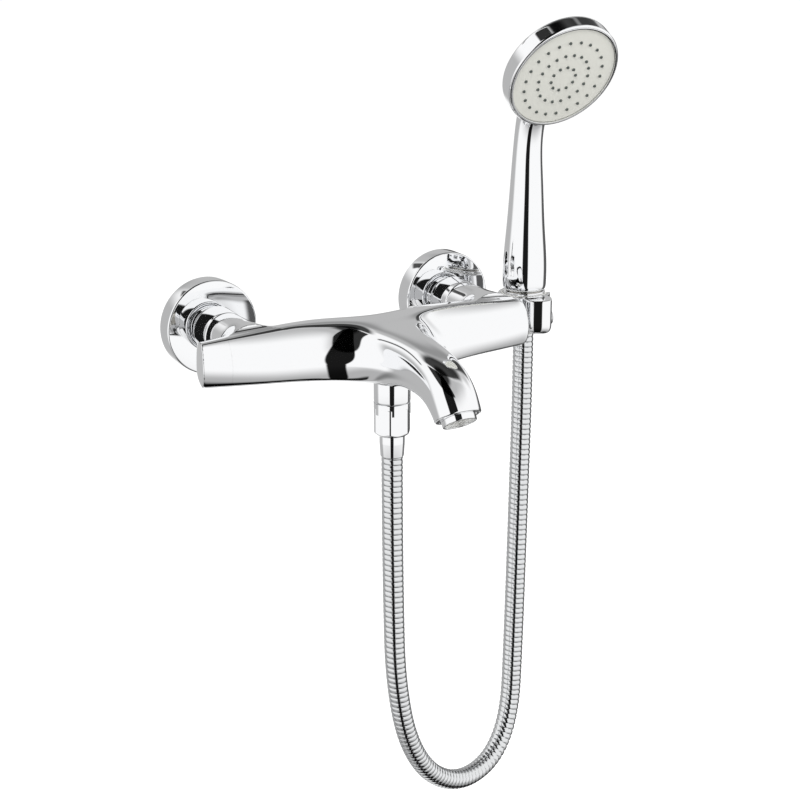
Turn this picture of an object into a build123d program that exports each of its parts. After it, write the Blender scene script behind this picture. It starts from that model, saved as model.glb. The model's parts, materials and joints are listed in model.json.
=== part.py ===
from build123d import *
import math
import os

# Exposed bath and shower mixer with hand shower, in millimetres.
# The wall is the plane Y = 0 and the mixer stands off it towards -Y. The origin is on the wall,
# midway between the two inlets. +X is to the right for someone facing the wall, +Z is up.

os.makedirs("parts", exist_ok=True)

# Wall fittings
inlet_spacing = 150.0
thread_radius = 10.48
thread_length = 16.0
rosette_radius = 26.8
rosette_depth = 11.5
rosette_wall = 1.2
rosette_edge = 1.2
neck_radius = 11.5
neck_wall_gap = 0.15
nut_radius = 13.7
nut_back = 16.5
nut_length = 15.0
nut_lip = 3.4
nut_thread_radius = 12.3
nut_edge = 0.9
flange_thickness = 2.4
seal_thickness = 2.0
water_bore = 6.5
thread_gap = 0.1
seal_inset = 0.4
check_valve_gap = 1.0
check_valve_length = 12.0
check_valve_collar = 3.0
check_valve_radius = 6.6
check_valve_bore = 4.0

# Small gaps inside the bodies, and how far a cut runs past the surface that it opens
press_gap = 0.02
cut_margin = 1.0

# Winged body
body_axis_y = -61.0
body_axis_z = -1.5
arm_overhang_left = 33.0
arm_overhang_right = 17.0
arm_left = inlet_spacing / 2 + arm_overhang_left
arm_right = inlet_spacing / 2 + arm_overhang_right
end_slant = 5.5
slant_depth = 24.0
end_edge_round = 1.0
boss_radius = 12.9
boss_back_gap = 0.3
inlet_bore = 8.0
gallery_radius = 7.0
outlet_y = -82.0
outlet_boss_radius = 10.15
outlet_boss_bottom = -22.5
outlet_boss_height = 10.0
outlet_way_rise = 10.0

# Half sections of the wings, from the middle outwards. Each has the distance from the middle, the top
# front edge, the bottom front edge, the front bulge and the back.
wing_stations = [
    {"x": 0.0, "top": (-74.0, 11.8), "bottom": (-84.0, -19.6), "bulge": 5.0, "back": -47.5},
    {"x": arm_left - 73.0, "top": (-69.5, 11.4), "bottom": (-79.0, -18.4), "bulge": 4.8, "back": -47.0},
    {"x": arm_left - 38.0, "top": (-68.5, 11.1), "bottom": (-76.0, -16.7), "bulge": 4.4, "back": -48.5},
    {"x": arm_left, "top": (-73.0, 9.5), "bottom": (-73.0, -15.0), "bulge": 3.6, "back": -49.0},
]
top_corner = 9.0
bottom_corner = 12.0

# Spout, as ovals along its centre line: place, pitch below level, half width and half height.
spout_stations = [
    {"y": -62.0, "z": -2.5, "pitch": 0.0, "wide": 30.0, "tall": 13.0},
    {"y": -80.0, "z": -2.9, "pitch": 2.0, "wide": 21.5, "tall": 13.7},
    {"y": -97.0, "z": -3.7, "pitch": 4.0, "wide": 16.0, "tall": 13.5},
    {"y": -112.0, "z": -4.9, "pitch": 6.0, "wide": 13.8, "tall": 13.1},
    {"y": -126.0, "z": -6.8, "pitch": 11.0, "wide": 13.0, "tall": 12.7},
    {"y": -138.5, "z": -10.4, "pitch": 24.0, "wide": 12.5, "tall": 12.4},
    {"y": -148.2, "z": -16.6, "pitch": 43.0, "wide": 12.1, "tall": 12.1},
    {"y": -154.2, "z": -24.4, "pitch": 57.0, "wide": 11.8, "tall": 11.8},
]
spout_bore = 7.6
aerator_radius = 9.3
aerator_depth = 9.0
aerator_stand_out = 3.4
aerator_wall = 1.1
aerator_gap = 0.1
aerator_edge = 0.3
aerator_seal_height = 1.5
aerator_seal_width = 2.2
aerator_face_step = 1.4
mesh_pitch = 2.4
mesh_hole = 1.6
mesh_count = 5

# Control in the left wing
knob_length = 16.0
knob_gap = 0.3
cartridge_radius = 9.2
cartridge_length = 21.0
cartridge_nut_length = 3.6
pocket_gap = 0.1
spindle_radius = 4.0
running_gap = 0.05
spindle_depth = 12.0
spindle_in_knob = 10.0
knob_screw_radius = 2.0
knob_screw_length = 6.0
knob_screw_key = 1.0
knob_screw_key_depth = 2.0
plug_length = 14.0
plug_recess = 1.5
plug_blind_end = 3.0
knob_turn = 120.0

# Outlet, diverter ring and hose end
ring_top_gap = 0.3
ring_height = 13.4
ring_edge = 2.2
seal_place = 3.0
seal_groove_depth = 1.3
seal_groove_width = 2.0
seal_section = 1.2
seal_width = 1.6
nipple_radius = 7.5
nipple_bore = 5.0
nipple_in_body = 7.0
hose_thread_radius = 8.33
hose_thread_length = 8.6
hose_nut_flats = 18.9
hose_nut_height = 16.1
hose_nut_gap = 1.0
hose_nut_corner_cut = 0.9
hose_nut_chamfer = 1.0
hose_nut_foot_chamfer = 2.1
hose_nut_turn = -6.5
hose_washer_thickness = 1.8
tail_flange_radius = 7.9
tail_flange_thickness = 2.0
tail_radius = 5.0
tail_barb_radius = 3.1
tail_barb_length = 14.0
tail_bore = 2.2
tail_step = 1.0
ferrule_joint = 0.15
ferrule_lip = 1.5
ferrule_height = 12.6
ferrule_radius = 7.0
ferrule_taper = 0.5
ferrule_edge = 0.5
ferrule_collar = 3.2

# Hose
hose_radius = 6.0
hose_groove_radius = 5.35
hose_bore = 3.5
rib_pitch = 3.14

# Holder and cone
holder_stand_off = 15.0
holder_x = arm_right + holder_stand_off
holder_y = -45.0
holder_top = 6.9
holder_bottom = -16.6
holder_radius = 15.9
holder_edge = 1.2
pillar_radius = 7.4
pillar_shift = 0.8
pillar_x = holder_x + pillar_shift
pillar_y = -62.0
pillar_bottom_round = 4.0
pillar_top_round = 0.8
slot_width = 13.4
end_gap = 0.3
liner_thickness = 1.1
cone_gap = 0.3
cone_top = 8.2
cone_bottom = -17.2
cone_shoulder = -1.0
cone_top_radius = 12.1
cone_bottom_radius = 7.2
holder_screw_radius = 2.5
holder_screw_head = 4.6
holder_screw_z = -5.0
holder_screw_seat = 4.0
holder_screw_head_height = 2.6
holder_screw_key = 2.0
holder_screw_key_depth = 1.6
holder_screw_tip_gap = 0.5

# Hand shower
handle_foot = 8.5
handle_foot_round = 2.6
handle_stations = [
    {"y": -45.0, "z": 8.5, "r": 12.5, "lean": 0.0},
    {"y": -45.1, "z": 20.0, "r": 12.7, "lean": 0.0},
    {"y": -45.3, "z": 45.0, "r": 11.1, "lean": 0.5},
    {"y": -45.7, "z": 72.0, "r": 9.4, "lean": 1.5},
    {"y": -46.8, "z": 97.0, "r": 8.2, "lean": 5.0},
    {"y": -51.5, "z": 114.0, "r": 8.5, "lean": 27.0},
    {"y": -59.5, "z": 125.0, "r": 8.4, "lean": 48.0},
    {"y": -68.0, "z": 131.0, "r": 6.5, "lean": 65.0},
]
head_y = -82.8
head_z = 135.5
head_tilt = 30.0
head_radius = 33.6
head_rim_depth = 10.0
head_dome_depth = 8.5
head_edge = 1.6
head_rim_width = 2.3
plate_thickness = 2.0
plate_recess = 0.7
ring_gap = 0.1
ring_width = 1.0
nozzle_radius = 0.75
nozzle_stand_out = 0.6
nozzle_bore_share = 0.4
nozzle_drop = 1.6
nozzle_rings = [
    {"count": 10, "radius": 7.5, "turn": 14.8},
    {"count": 18, "radius": 15.6, "turn": 3.2},
    {"count": 22, "radius": 24.0, "turn": 16.4},
]
jet_disc_inset = 3.6
jet_disc_thickness = 2.2
jet_chamber = 3.0
jet_back_gap = 1.5
jet_disc_gap = 1.0
jet_holes = 8
jet_hole_circle = 14.0
jet_hole_radius = 2.2
jet_wall = 1.0
sheet_thickness = 0.8
face_seal_section = 0.9
face_screw_inset = 2.5
face_screw_count = 3
face_screw_radius = 1.2
face_screw_hold = 2.0
handle_bore = 6.2
handle_bore_top = 90.0
neck_way_radius = 4.2
neck_way_end = 5.0
bush_radius = 9.2
bush_length = 16.0
bush_step = 8.0
bore_shift = 0.4
limiter_place = 4.0
limiter_bore = 1.6
tube_end_gap = 3.0
tube_radius = 5.6
tube_wall = 1.2
limiter_thickness = 3.0


def write(part, name):
    part.label = name
    export_step(part, "parts/" + name + ".step")


def turned(axis_x, profile):
    """A ring or rod about the line through axis_x that runs along Y. The profile is a list of
    corners, each a radius and a distance from the wall."""
    with BuildPart() as piece:
        with BuildSketch(Plane(origin=(axis_x, 0, 0), x_dir=(1, 0, 0), z_dir=(0, 0, 1))):
            with BuildLine():
                Polyline([(r, -depth) for r, depth in profile], close=True)
            make_face()
        revolve(axis=Axis((axis_x, 0, 0), (0, 1, 0)))
    return piece


def upright(axis_x, axis_y, profile):
    """A ring or rod about an upright line. The profile is a list of corners, each a radius and a
    height."""
    with BuildPart() as piece:
        with BuildSketch(Plane(origin=(axis_x, axis_y, 0), x_dir=(1, 0, 0), z_dir=(0, -1, 0))):
            with BuildLine():
                Polyline(profile, close=True)
            make_face()
        revolve(axis=Axis((axis_x, axis_y, 0), (0, 0, 1)))
    return piece


# Unions, nuts and rosettes on the wall, the same on each side
nut_front = nut_back + nut_length
flange_back = nut_back + nut_lip
flange_front = flange_back + flange_thickness
seal_front = flange_front + seal_thickness
spigot_radius = nut_thread_radius - thread_gap
check_valve_start = seal_front + check_valve_gap
for side, side_x in (("left", -inlet_spacing / 2), ("right", inlet_spacing / 2)):
    union = turned(side_x, [
        (water_bore, -thread_length),
        (thread_radius, -thread_length),
        (thread_radius, 0.0),
        (neck_radius, 0.0),
        (neck_radius, flange_back),
        (spigot_radius, flange_back),
        (spigot_radius, flange_front),
        (water_bore, flange_front),
    ])
    write(union.part, "wall_union_" + side)

    seal = turned(side_x, [
        (water_bore, flange_front),
        (spigot_radius - seal_inset, flange_front),
        (spigot_radius - seal_inset, seal_front),
        (water_bore, seal_front),
    ])
    write(seal.part, "union_seal_" + side)

    with BuildPart() as union_nut:
        with BuildSketch(Plane(origin=(side_x, -nut_back, 0), x_dir=(1, 0, 0), z_dir=(0, -1, 0))):
            Circle(nut_radius)
            Circle(neck_radius + neck_wall_gap, mode=Mode.SUBTRACT)
        extrude(amount=nut_lip)
        with BuildSketch(Plane(origin=(side_x, -flange_back, 0), x_dir=(1, 0, 0), z_dir=(0, -1, 0))):
            Circle(nut_radius)
            Circle(nut_thread_radius, mode=Mode.SUBTRACT)
        extrude(amount=nut_length - nut_lip)
        outer_rims = union_nut.edges().filter_by(
            lambda e: e.geom_type == GeomType.CIRCLE and abs(e.radius - nut_radius) < 0.01)
        fillet(outer_rims, radius=nut_edge)
    write(union_nut.part, "union_nut_" + side)

    with BuildPart() as rosette:
        with BuildSketch(Plane(origin=(side_x, 0, 0), x_dir=(1, 0, 0), z_dir=(0, -1, 0))):
            Circle(rosette_radius)
        extrude(amount=rosette_depth)
        front_rim = rosette.edges().sort_by(Axis.Y)[0]
        fillet(front_rim, radius=rosette_edge)
        with BuildSketch(Plane(origin=(side_x, 0, 0), x_dir=(1, 0, 0), z_dir=(0, -1, 0))):
            Circle(rosette_radius - rosette_wall)
        extrude(amount=rosette_depth - rosette_wall, mode=Mode.SUBTRACT)
        with BuildSketch(Plane(origin=(side_x, 0, 0), x_dir=(1, 0, 0), z_dir=(0, -1, 0))):
            Circle(neck_radius + neck_wall_gap)
        extrude(amount=rosette_depth, mode=Mode.SUBTRACT)
    write(rosette.part, "rosette_" + side)

    valve = turned(side_x, [
        (check_valve_bore, check_valve_start),
        (inlet_bore - pocket_gap, check_valve_start),
        (inlet_bore - pocket_gap, check_valve_start + check_valve_collar),
        (check_valve_radius, check_valve_start + check_valve_collar),
        (check_valve_radius, check_valve_start + check_valve_length),
        (check_valve_bore, check_valve_start + check_valve_length),
    ])
    write(valve.part, "check_valve_" + side)


# Wings: one loft from end to end, with the slanted ends cut afterwards
def wing_section(station):
    """Closed outline of the wing across its length, in Y and Z."""
    top_y, top_z = station["top"]
    bottom_y, bottom_z = station["bottom"]
    back = station["back"]
    middle_z = (top_z + bottom_z) / 2
    middle_y = (top_y + bottom_y) / 2 - station["bulge"]
    ThreePointArc((bottom_y, bottom_z), (middle_y, middle_z), (top_y, top_z))
    Line((top_y, top_z), (back - top_corner, top_z))
    Bezier((back - top_corner, top_z), (back, top_z), (back, middle_z))
    Bezier((back, middle_z), (back, bottom_z), (back - bottom_corner, bottom_z))
    Line((back - bottom_corner, bottom_z), (bottom_y, bottom_z))


wing_places = [(-s["x"], s) for s in reversed(wing_stations[1:])] + [(s["x"], s) for s in wing_stations]
with BuildPart() as wings:
    for place, station in wing_places:
        with BuildSketch(Plane.YZ.offset(place)):
            with BuildLine():
                wing_section(station)
            make_face()
    loft()
    slant_angle = math.degrees(math.atan2(end_slant, slant_depth))
    front_y = wing_stations[-1]["top"][0]
    left_cut = Plane(origin=(-arm_left, front_y, 0), x_dir=(0, 0, 1),
                     z_dir=(-math.cos(math.radians(slant_angle)), math.sin(math.radians(slant_angle)), 0))
    split(bisect_by=left_cut, keep=Keep.BOTTOM)
    right_cut = Plane(origin=(arm_right, front_y, 0), x_dir=(0, 0, 1),
                      z_dir=(math.cos(math.radians(slant_angle)), math.sin(math.radians(slant_angle)), 0))
    split(bisect_by=right_cut, keep=Keep.BOTTOM)
    left_edges = wings.faces().sort_by(Axis.X)[0].edges()
    right_edges = wings.faces().sort_by(Axis.X)[-1].edges()
    fillet(left_edges + right_edges, radius=end_edge_round)

knob_face = -arm_left + knob_length
body_end = knob_face + knob_gap


def spout_plane(station):
    """Plane square to the spout's centre line, with its normal down the spout."""
    pitch = math.radians(station["pitch"])
    return Plane(origin=(0, station["y"], station["z"]), x_dir=(1, 0, 0),
                 z_dir=(0, -math.cos(pitch), -math.sin(pitch)))


tip_plane = spout_plane(spout_stations[-1])
with BuildPart() as spout:
    for station in spout_stations:
        with BuildSketch(spout_plane(station)):
            Ellipse(station["wide"], station["tall"])
    loft()

with BuildPart() as spout_way:
    for station in spout_stations:
        with BuildSketch(spout_plane(station)):
            Circle(spout_bore)
    loft()

cartridge_end = body_end + cartridge_nut_length
with BuildPart() as mixer_body:
    add(wings.part)
    split(bisect_by=Plane.YZ.offset(body_end), keep=Keep.TOP)
    add(spout.part)
    for side_x in (-inlet_spacing / 2, inlet_spacing / 2):
        with BuildSketch(Plane(origin=(side_x, -nut_front - boss_back_gap, 0), x_dir=(1, 0, 0), z_dir=(0, -1, 0))):
            Circle(boss_radius)
        extrude(amount=-body_axis_y - nut_front - boss_back_gap)
        with BuildSketch(Plane(origin=(side_x, -seal_front, 0), x_dir=(1, 0, 0), z_dir=(0, -1, 0))):
            Circle(spigot_radius)
        extrude(amount=nut_front + boss_back_gap - seal_front)
    with BuildSketch(Plane(origin=(0, outlet_y, outlet_boss_bottom), x_dir=(1, 0, 0), z_dir=(0, 0, 1))):
        Circle(outlet_boss_radius)
    extrude(amount=outlet_boss_height)
    add(spout_way.part, mode=Mode.SUBTRACT)
    for side_x in (-inlet_spacing / 2, inlet_spacing / 2):
        with BuildSketch(Plane(origin=(side_x, -seal_front, 0), x_dir=(1, 0, 0), z_dir=(0, -1, 0))):
            Circle(inlet_bore)
        extrude(amount=-body_axis_y - seal_front, mode=Mode.SUBTRACT)
    with BuildSketch(Plane.YZ.offset(body_end)):
        with Locations((body_axis_y, body_axis_z)):
            Circle(gallery_radius)
    extrude(amount=arm_right - body_end + cut_margin, mode=Mode.SUBTRACT)
    with BuildSketch(Plane.YZ.offset(body_end)):
        with Locations((body_axis_y, body_axis_z)):
            Circle(cartridge_radius + pocket_gap)
    extrude(amount=cartridge_nut_length + cartridge_length, mode=Mode.SUBTRACT)
    with BuildSketch(Plane(origin=(0, outlet_y, outlet_boss_bottom), x_dir=(1, 0, 0), z_dir=(0, 0, 1))):
        Circle(nipple_radius + thread_gap)
    extrude(amount=nipple_in_body, mode=Mode.SUBTRACT)
    with BuildSketch(Plane(origin=(0, outlet_y, outlet_boss_bottom), x_dir=(1, 0, 0), z_dir=(0, 0, 1))):
        Circle(nipple_bore)
    extrude(amount=nipple_in_body + outlet_way_rise, mode=Mode.SUBTRACT)
    with BuildSketch(tip_plane.offset(-aerator_depth)):
        Circle(aerator_radius + aerator_gap)
    extrude(amount=aerator_depth + aerator_stand_out, mode=Mode.SUBTRACT)
write(mixer_body.part, "mixer_body")
print("mixer body", len(mixer_body.part.solids()), "solid, volume", round(mixer_body.part.volume))

# Control in the left wing: cartridge, its ring, spindle, knob and grub screw
with BuildPart() as cartridge:
    with BuildSketch(Plane.YZ.offset(cartridge_end)):
        with Locations((body_axis_y, body_axis_z)):
            Circle(cartridge_radius)
    extrude(amount=cartridge_length)
    with BuildSketch(Plane.YZ.offset(cartridge_end)):
        with Locations((body_axis_y, body_axis_z)):
            Circle(spindle_radius + running_gap)
    extrude(amount=spindle_depth + running_gap, mode=Mode.SUBTRACT)
write(cartridge.part, "cartridge")

with BuildPart() as cartridge_nut:
    with BuildSketch(Plane.YZ.offset(body_end)):
        with Locations((body_axis_y, body_axis_z)):
            Circle(cartridge_radius)
            Circle(spindle_radius + 4 * running_gap, mode=Mode.SUBTRACT)
    extrude(amount=cartridge_nut_length)
write(cartridge_nut.part, "cartridge_nut")

with BuildPart() as spindle:
    with BuildSketch(Plane.YZ.offset(knob_face - spindle_in_knob)):
        with Locations((body_axis_y, body_axis_z)):
            Circle(spindle_radius)
    extrude(amount=cartridge_end + spindle_depth - knob_face + spindle_in_knob)
write(spindle.part, "spindle")

with BuildPart() as control_knob:
    add(wings.part)
    split(bisect_by=Plane.YZ.offset(knob_face), keep=Keep.BOTTOM)
    with BuildSketch(Plane.YZ.offset(knob_face - spindle_in_knob)):
        with Locations((body_axis_y, body_axis_z)):
            Circle(spindle_radius + press_gap)
    extrude(amount=spindle_in_knob + cut_margin, mode=Mode.SUBTRACT)
    with BuildSketch(Plane(origin=(knob_face - spindle_in_knob / 2, body_axis_y, body_axis_z),
                           x_dir=(1, 0, 0), z_dir=(0, 0, -1))):
        Circle(knob_screw_radius + press_gap)
    extrude(amount=body_axis_z - wing_stations[-1]["bottom"][1] + cut_margin, mode=Mode.SUBTRACT)
write(control_knob.part, "control_knob")

with BuildPart() as knob_screw:
    with BuildSketch(Plane(origin=(knob_face - spindle_in_knob / 2, body_axis_y, body_axis_z - spindle_radius),
                           x_dir=(1, 0, 0), z_dir=(0, 0, -1))):
        Circle(knob_screw_radius)
    extrude(amount=knob_screw_length)
    with BuildSketch(Plane(origin=(knob_face - spindle_in_knob / 2, body_axis_y,
                                   body_axis_z - spindle_radius - knob_screw_length),
                           x_dir=(1, 0, 0), z_dir=(0, 0, 1))):
        RegularPolygon(radius=knob_screw_key, side_count=6, major_radius=False)
    extrude(amount=knob_screw_key_depth, mode=Mode.SUBTRACT)
write(knob_screw.part, "knob_screw")

# Plug in the right end of the gallery, and the screw that holds the holder on it
right_face_x = arm_right - end_slant * (body_axis_y - front_y) / slant_depth
plug_end = right_face_x - plug_recess
with BuildPart() as end_plug:
    with BuildSketch(Plane.YZ.offset(plug_end - plug_length)):
        with Locations((body_axis_y, body_axis_z)):
            Circle(gallery_radius - thread_gap)
    extrude(amount=plug_length)
    with BuildSketch(Plane.YZ.offset(plug_end)):
        with Locations((pillar_y, holder_screw_z)):
            Circle(holder_screw_radius + press_gap)
    extrude(amount=-plug_length + plug_blind_end, mode=Mode.SUBTRACT)
write(end_plug.part, "end_plug")

# Outlet: nipple, diverter ring, washer, nut, tail and ferrule
ring_top = outlet_boss_bottom - ring_top_gap
ring_bottom = ring_top - ring_height
thread_top = ring_bottom - ring_top_gap
thread_bottom = thread_top - hose_thread_length
nipple = upright(0, outlet_y, [
    (nipple_bore, outlet_boss_bottom + nipple_in_body - thread_gap),
    (nipple_radius, outlet_boss_bottom + nipple_in_body - thread_gap),
    (nipple_radius, thread_top),
    (hose_thread_radius, thread_top),
    (hose_thread_radius, thread_bottom),
    (nipple_bore, thread_bottom),
])
write(nipple.part, "outlet_nipple")

with BuildPart() as diverter_ring:
    with BuildSketch(Plane(origin=(0, outlet_y, ring_bottom), x_dir=(1, 0, 0), z_dir=(0, 0, 1))):
        Circle(outlet_boss_radius)
    extrude(amount=ring_height)
    fillet(diverter_ring.edges().sort_by(Axis.Z)[0], radius=ring_edge)
    with BuildSketch(Plane(origin=(0, outlet_y, ring_bottom), x_dir=(1, 0, 0), z_dir=(0, 0, 1))):
        Circle(nipple_radius + running_gap)
    extrude(amount=ring_height, mode=Mode.SUBTRACT)
    for seal_z in (ring_top - seal_place, ring_bottom + seal_place):
        with BuildSketch(Plane(origin=(0, outlet_y, seal_z - seal_groove_width / 2),
                               x_dir=(1, 0, 0), z_dir=(0, 0, 1))):
            Circle(nipple_radius + seal_groove_depth)
        extrude(amount=seal_groove_width, mode=Mode.SUBTRACT)
write(diverter_ring.part, "diverter_ring")

with BuildPart() as diverter_seals:
    for seal_z in (ring_top - seal_place, ring_bottom + seal_place):
        with BuildSketch(Plane(origin=(0, outlet_y, seal_z - seal_width / 2), x_dir=(1, 0, 0), z_dir=(0, 0, 1))):
            Circle(nipple_radius + seal_section)
            Circle(nipple_radius, mode=Mode.SUBTRACT)
        extrude(amount=seal_width)
write(diverter_seals.part, "diverter_seals")

washer_bottom = thread_bottom - hose_washer_thickness
flange_bottom = washer_bottom - tail_flange_thickness
hose_nut_top = ring_bottom - hose_nut_gap
hose_nut_bottom = hose_nut_top - hose_nut_height
ferrule_top = hose_nut_bottom - ferrule_joint
ferrule_bottom = ferrule_top - ferrule_height
hose_washer = upright(0, outlet_y, [
    (nipple_bore, thread_bottom),
    (tail_flange_radius, thread_bottom),
    (tail_flange_radius, washer_bottom),
    (nipple_bore, washer_bottom),
])
write(hose_washer.part, "hose_washer")

# The hexagon's corners are turned down to this outline
nut_corner_radius = hose_nut_flats / 2 + hose_nut_corner_cut
nut_envelope = upright(0, outlet_y, [
    (0, hose_nut_bottom),
    (nut_corner_radius - hose_nut_foot_chamfer, hose_nut_bottom),
    (nut_corner_radius, hose_nut_bottom + hose_nut_foot_chamfer),
    (nut_corner_radius, hose_nut_top - hose_nut_chamfer / 2),
    (nut_corner_radius - hose_nut_chamfer, hose_nut_top),
    (0, hose_nut_top),
])
with BuildPart() as hose_nut:
    with BuildSketch(Plane(origin=(0, outlet_y, hose_nut_bottom), x_dir=(1, 0, 0), z_dir=(0, 0, 1))):
        RegularPolygon(radius=hose_nut_flats / 2, side_count=6, major_radius=False, rotation=hose_nut_turn)
    extrude(amount=hose_nut_height)
    add(nut_envelope.part, mode=Mode.INTERSECT)
    with BuildSketch(Plane(origin=(0, outlet_y, flange_bottom), x_dir=(1, 0, 0), z_dir=(0, 0, 1))):
        Circle(hose_thread_radius + thread_gap)
    extrude(amount=hose_nut_height, mode=Mode.SUBTRACT)
    with BuildSketch(Plane(origin=(0, outlet_y, hose_nut_bottom), x_dir=(1, 0, 0), z_dir=(0, 0, 1))):
        Circle(tail_radius + thread_gap)
    extrude(amount=hose_nut_height, mode=Mode.SUBTRACT)
write(hose_nut.part, "hose_nut")

tail_outlet = upright(0, outlet_y, [
    (tail_bore, washer_bottom),
    (tail_flange_radius, washer_bottom),
    (tail_flange_radius, flange_bottom),
    (tail_radius, flange_bottom),
    (tail_radius, ferrule_top - ferrule_lip),
    (tail_barb_radius, ferrule_top - ferrule_lip),
    (tail_barb_radius, ferrule_bottom - tail_barb_length),
    (tail_bore, ferrule_bottom - tail_barb_length),
])
write(tail_outlet.part, "hose_tail_outlet")

ferrule = upright(0, outlet_y, [
    (tail_radius + thread_gap, ferrule_top),
    (ferrule_radius - ferrule_edge, ferrule_top),
    (ferrule_radius, ferrule_top - ferrule_edge),
    (ferrule_radius, ferrule_top - ferrule_collar),
    (ferrule_radius - ferrule_taper, ferrule_bottom + ferrule_edge),
    (ferrule_radius - ferrule_taper - ferrule_edge, ferrule_bottom),
    (tail_barb_radius + thread_gap, ferrule_bottom),
    (tail_barb_radius + thread_gap, ferrule_top - ferrule_lip - thread_gap),
    (tail_radius + thread_gap, ferrule_top - ferrule_lip - thread_gap),
])
write(ferrule.part, "hose_ferrule")

# Hose. It hangs in one upright plane from the outlet to the holder. The points are chosen by hand as
# the distance along that plane from the outlet, and the height.
hose_reach = math.hypot(holder_x, holder_y - outlet_y)
hose_points = [
    (0, ferrule_bottom), (0, -96), (0.9, -148), (2.6, -196), (9.8, -238), (26, -270),
    (48, -286.5), (74.6, -288), (96.6, -275.5), (107.8, -252), (108.6, -217), (109.4, -172),
    (111.0, -120), (112.4, -80), (hose_reach, -48), (hose_reach, cone_bottom),
]
along_x = holder_x / hose_reach
along_y = (holder_y - outlet_y) / hose_reach
hose_route = [Vector(along_x * s, outlet_y + along_y * s, z) for s, z in hose_points]
hose_square = Vector(-along_y, along_x, 0)
bend_radii = []
for before, corner, after in zip(hose_route, hose_route[1:], hose_route[2:]):
    half_turn = math.radians((corner - before).get_angle(after - corner)) / 2
    shorter = min((corner - before).length, (after - corner).length)
    bend_radii.append(0.45 * shorter / math.tan(half_turn))
print("hose bend radii", [round(r) for r in bend_radii])
with BuildLine() as hose_line:
    FilletPolyline(*hose_route, radius=bend_radii)
hose_length = hose_line.wires()[0].length
rib_count = round(hose_length / rib_pitch)
rib_step = hose_length / rib_count
print("hose length", round(hose_length, 1), "ribs", rib_count)


def hose_plane(distance):
    """Plane square to the hose at a distance along it, with its X axis across the hanging plane."""
    wire = hose_line.wires()[0]
    place = distance / hose_length
    return Plane(origin=wire.position_at(place), x_dir=hose_square, z_dir=wire.tangent_at(place))


with BuildPart() as shower_hose:
    for rib in range(rib_count):
        start = rib * rib_step
        for share, radius in ((0.0, hose_groove_radius), (0.2, hose_radius), (0.62, hose_radius),
                              (0.82, hose_groove_radius)):
            with BuildSketch(hose_plane(start + share * rib_step)):
                Circle(radius)
    with BuildSketch(hose_plane(hose_length)):
        Circle(hose_groove_radius)
    loft(ruled=True)
    with BuildSketch(hose_plane(0)):
        Circle(hose_bore)
    sweep(path=hose_line.wires()[0], mode=Mode.SUBTRACT)
write(shower_hose.part, "shower_hose")
print("hose volume over ring section times length",
      round(shower_hose.part.volume / (math.pi * (hose_radius ** 2 - hose_bore ** 2) * hose_length), 3))


# Cone at the hose's upper end, with its washer and tail
def cone_radius(height):
    """Outer radius of the cone at a height. Above its shoulder it is straight."""
    share = (min(height, cone_shoulder) - cone_bottom) / (cone_shoulder - cone_bottom)
    return cone_bottom_radius + share * (cone_top_radius - cone_bottom_radius)


cone_flange_z = -6.0
bush_bottom = cone_flange_z + tail_flange_thickness + hose_washer_thickness
cone = upright(holder_x, holder_y, [
    (tail_radius + thread_gap, cone_bottom),
    (cone_bottom_radius, cone_bottom),
    (cone_top_radius, cone_shoulder),
    (cone_top_radius, cone_top),
    (thread_radius + thread_gap, cone_top),
    (thread_radius + thread_gap, bush_bottom),
    (tail_flange_radius + thread_gap, bush_bottom),
    (tail_flange_radius + thread_gap, cone_flange_z),
    (tail_radius + thread_gap, cone_flange_z),
])
write(cone.part, "cone_nut")

tail_handset = upright(holder_x, holder_y, [
    (tail_bore, cone_flange_z + tail_flange_thickness),
    (tail_flange_radius, cone_flange_z + tail_flange_thickness),
    (tail_flange_radius, cone_flange_z),
    (tail_radius, cone_flange_z),
    (tail_radius, cone_bottom + tail_step),
    (tail_barb_radius, cone_bottom + tail_step),
    (tail_barb_radius, cone_bottom - tail_barb_length),
    (tail_bore, cone_bottom - tail_barb_length),
])
write(tail_handset.part, "hose_tail_handset")

cone_washer = upright(holder_x, holder_y, [
    (nipple_bore, bush_bottom),
    (tail_flange_radius, bush_bottom),
    (tail_flange_radius, bush_bottom - hose_washer_thickness),
    (nipple_bore, bush_bottom - hose_washer_thickness),
])
write(cone_washer.part, "cone_washer")

# Holder: a cup open to the right for the hose, with a round pillar that meets the body's end
liner_inside = cone_gap
liner_outside = cone_gap + liner_thickness
with BuildPart() as pillar:
    with BuildSketch(Plane.XY.offset(holder_bottom)):
        with Locations((pillar_x, pillar_y)):
            Circle(pillar_radius)
    extrude(amount=holder_top - holder_bottom)
    fillet(pillar.edges().group_by(Axis.Z)[0], radius=pillar_bottom_round)
    fillet(pillar.edges().group_by(Axis.Z)[-1], radius=pillar_top_round)

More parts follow.
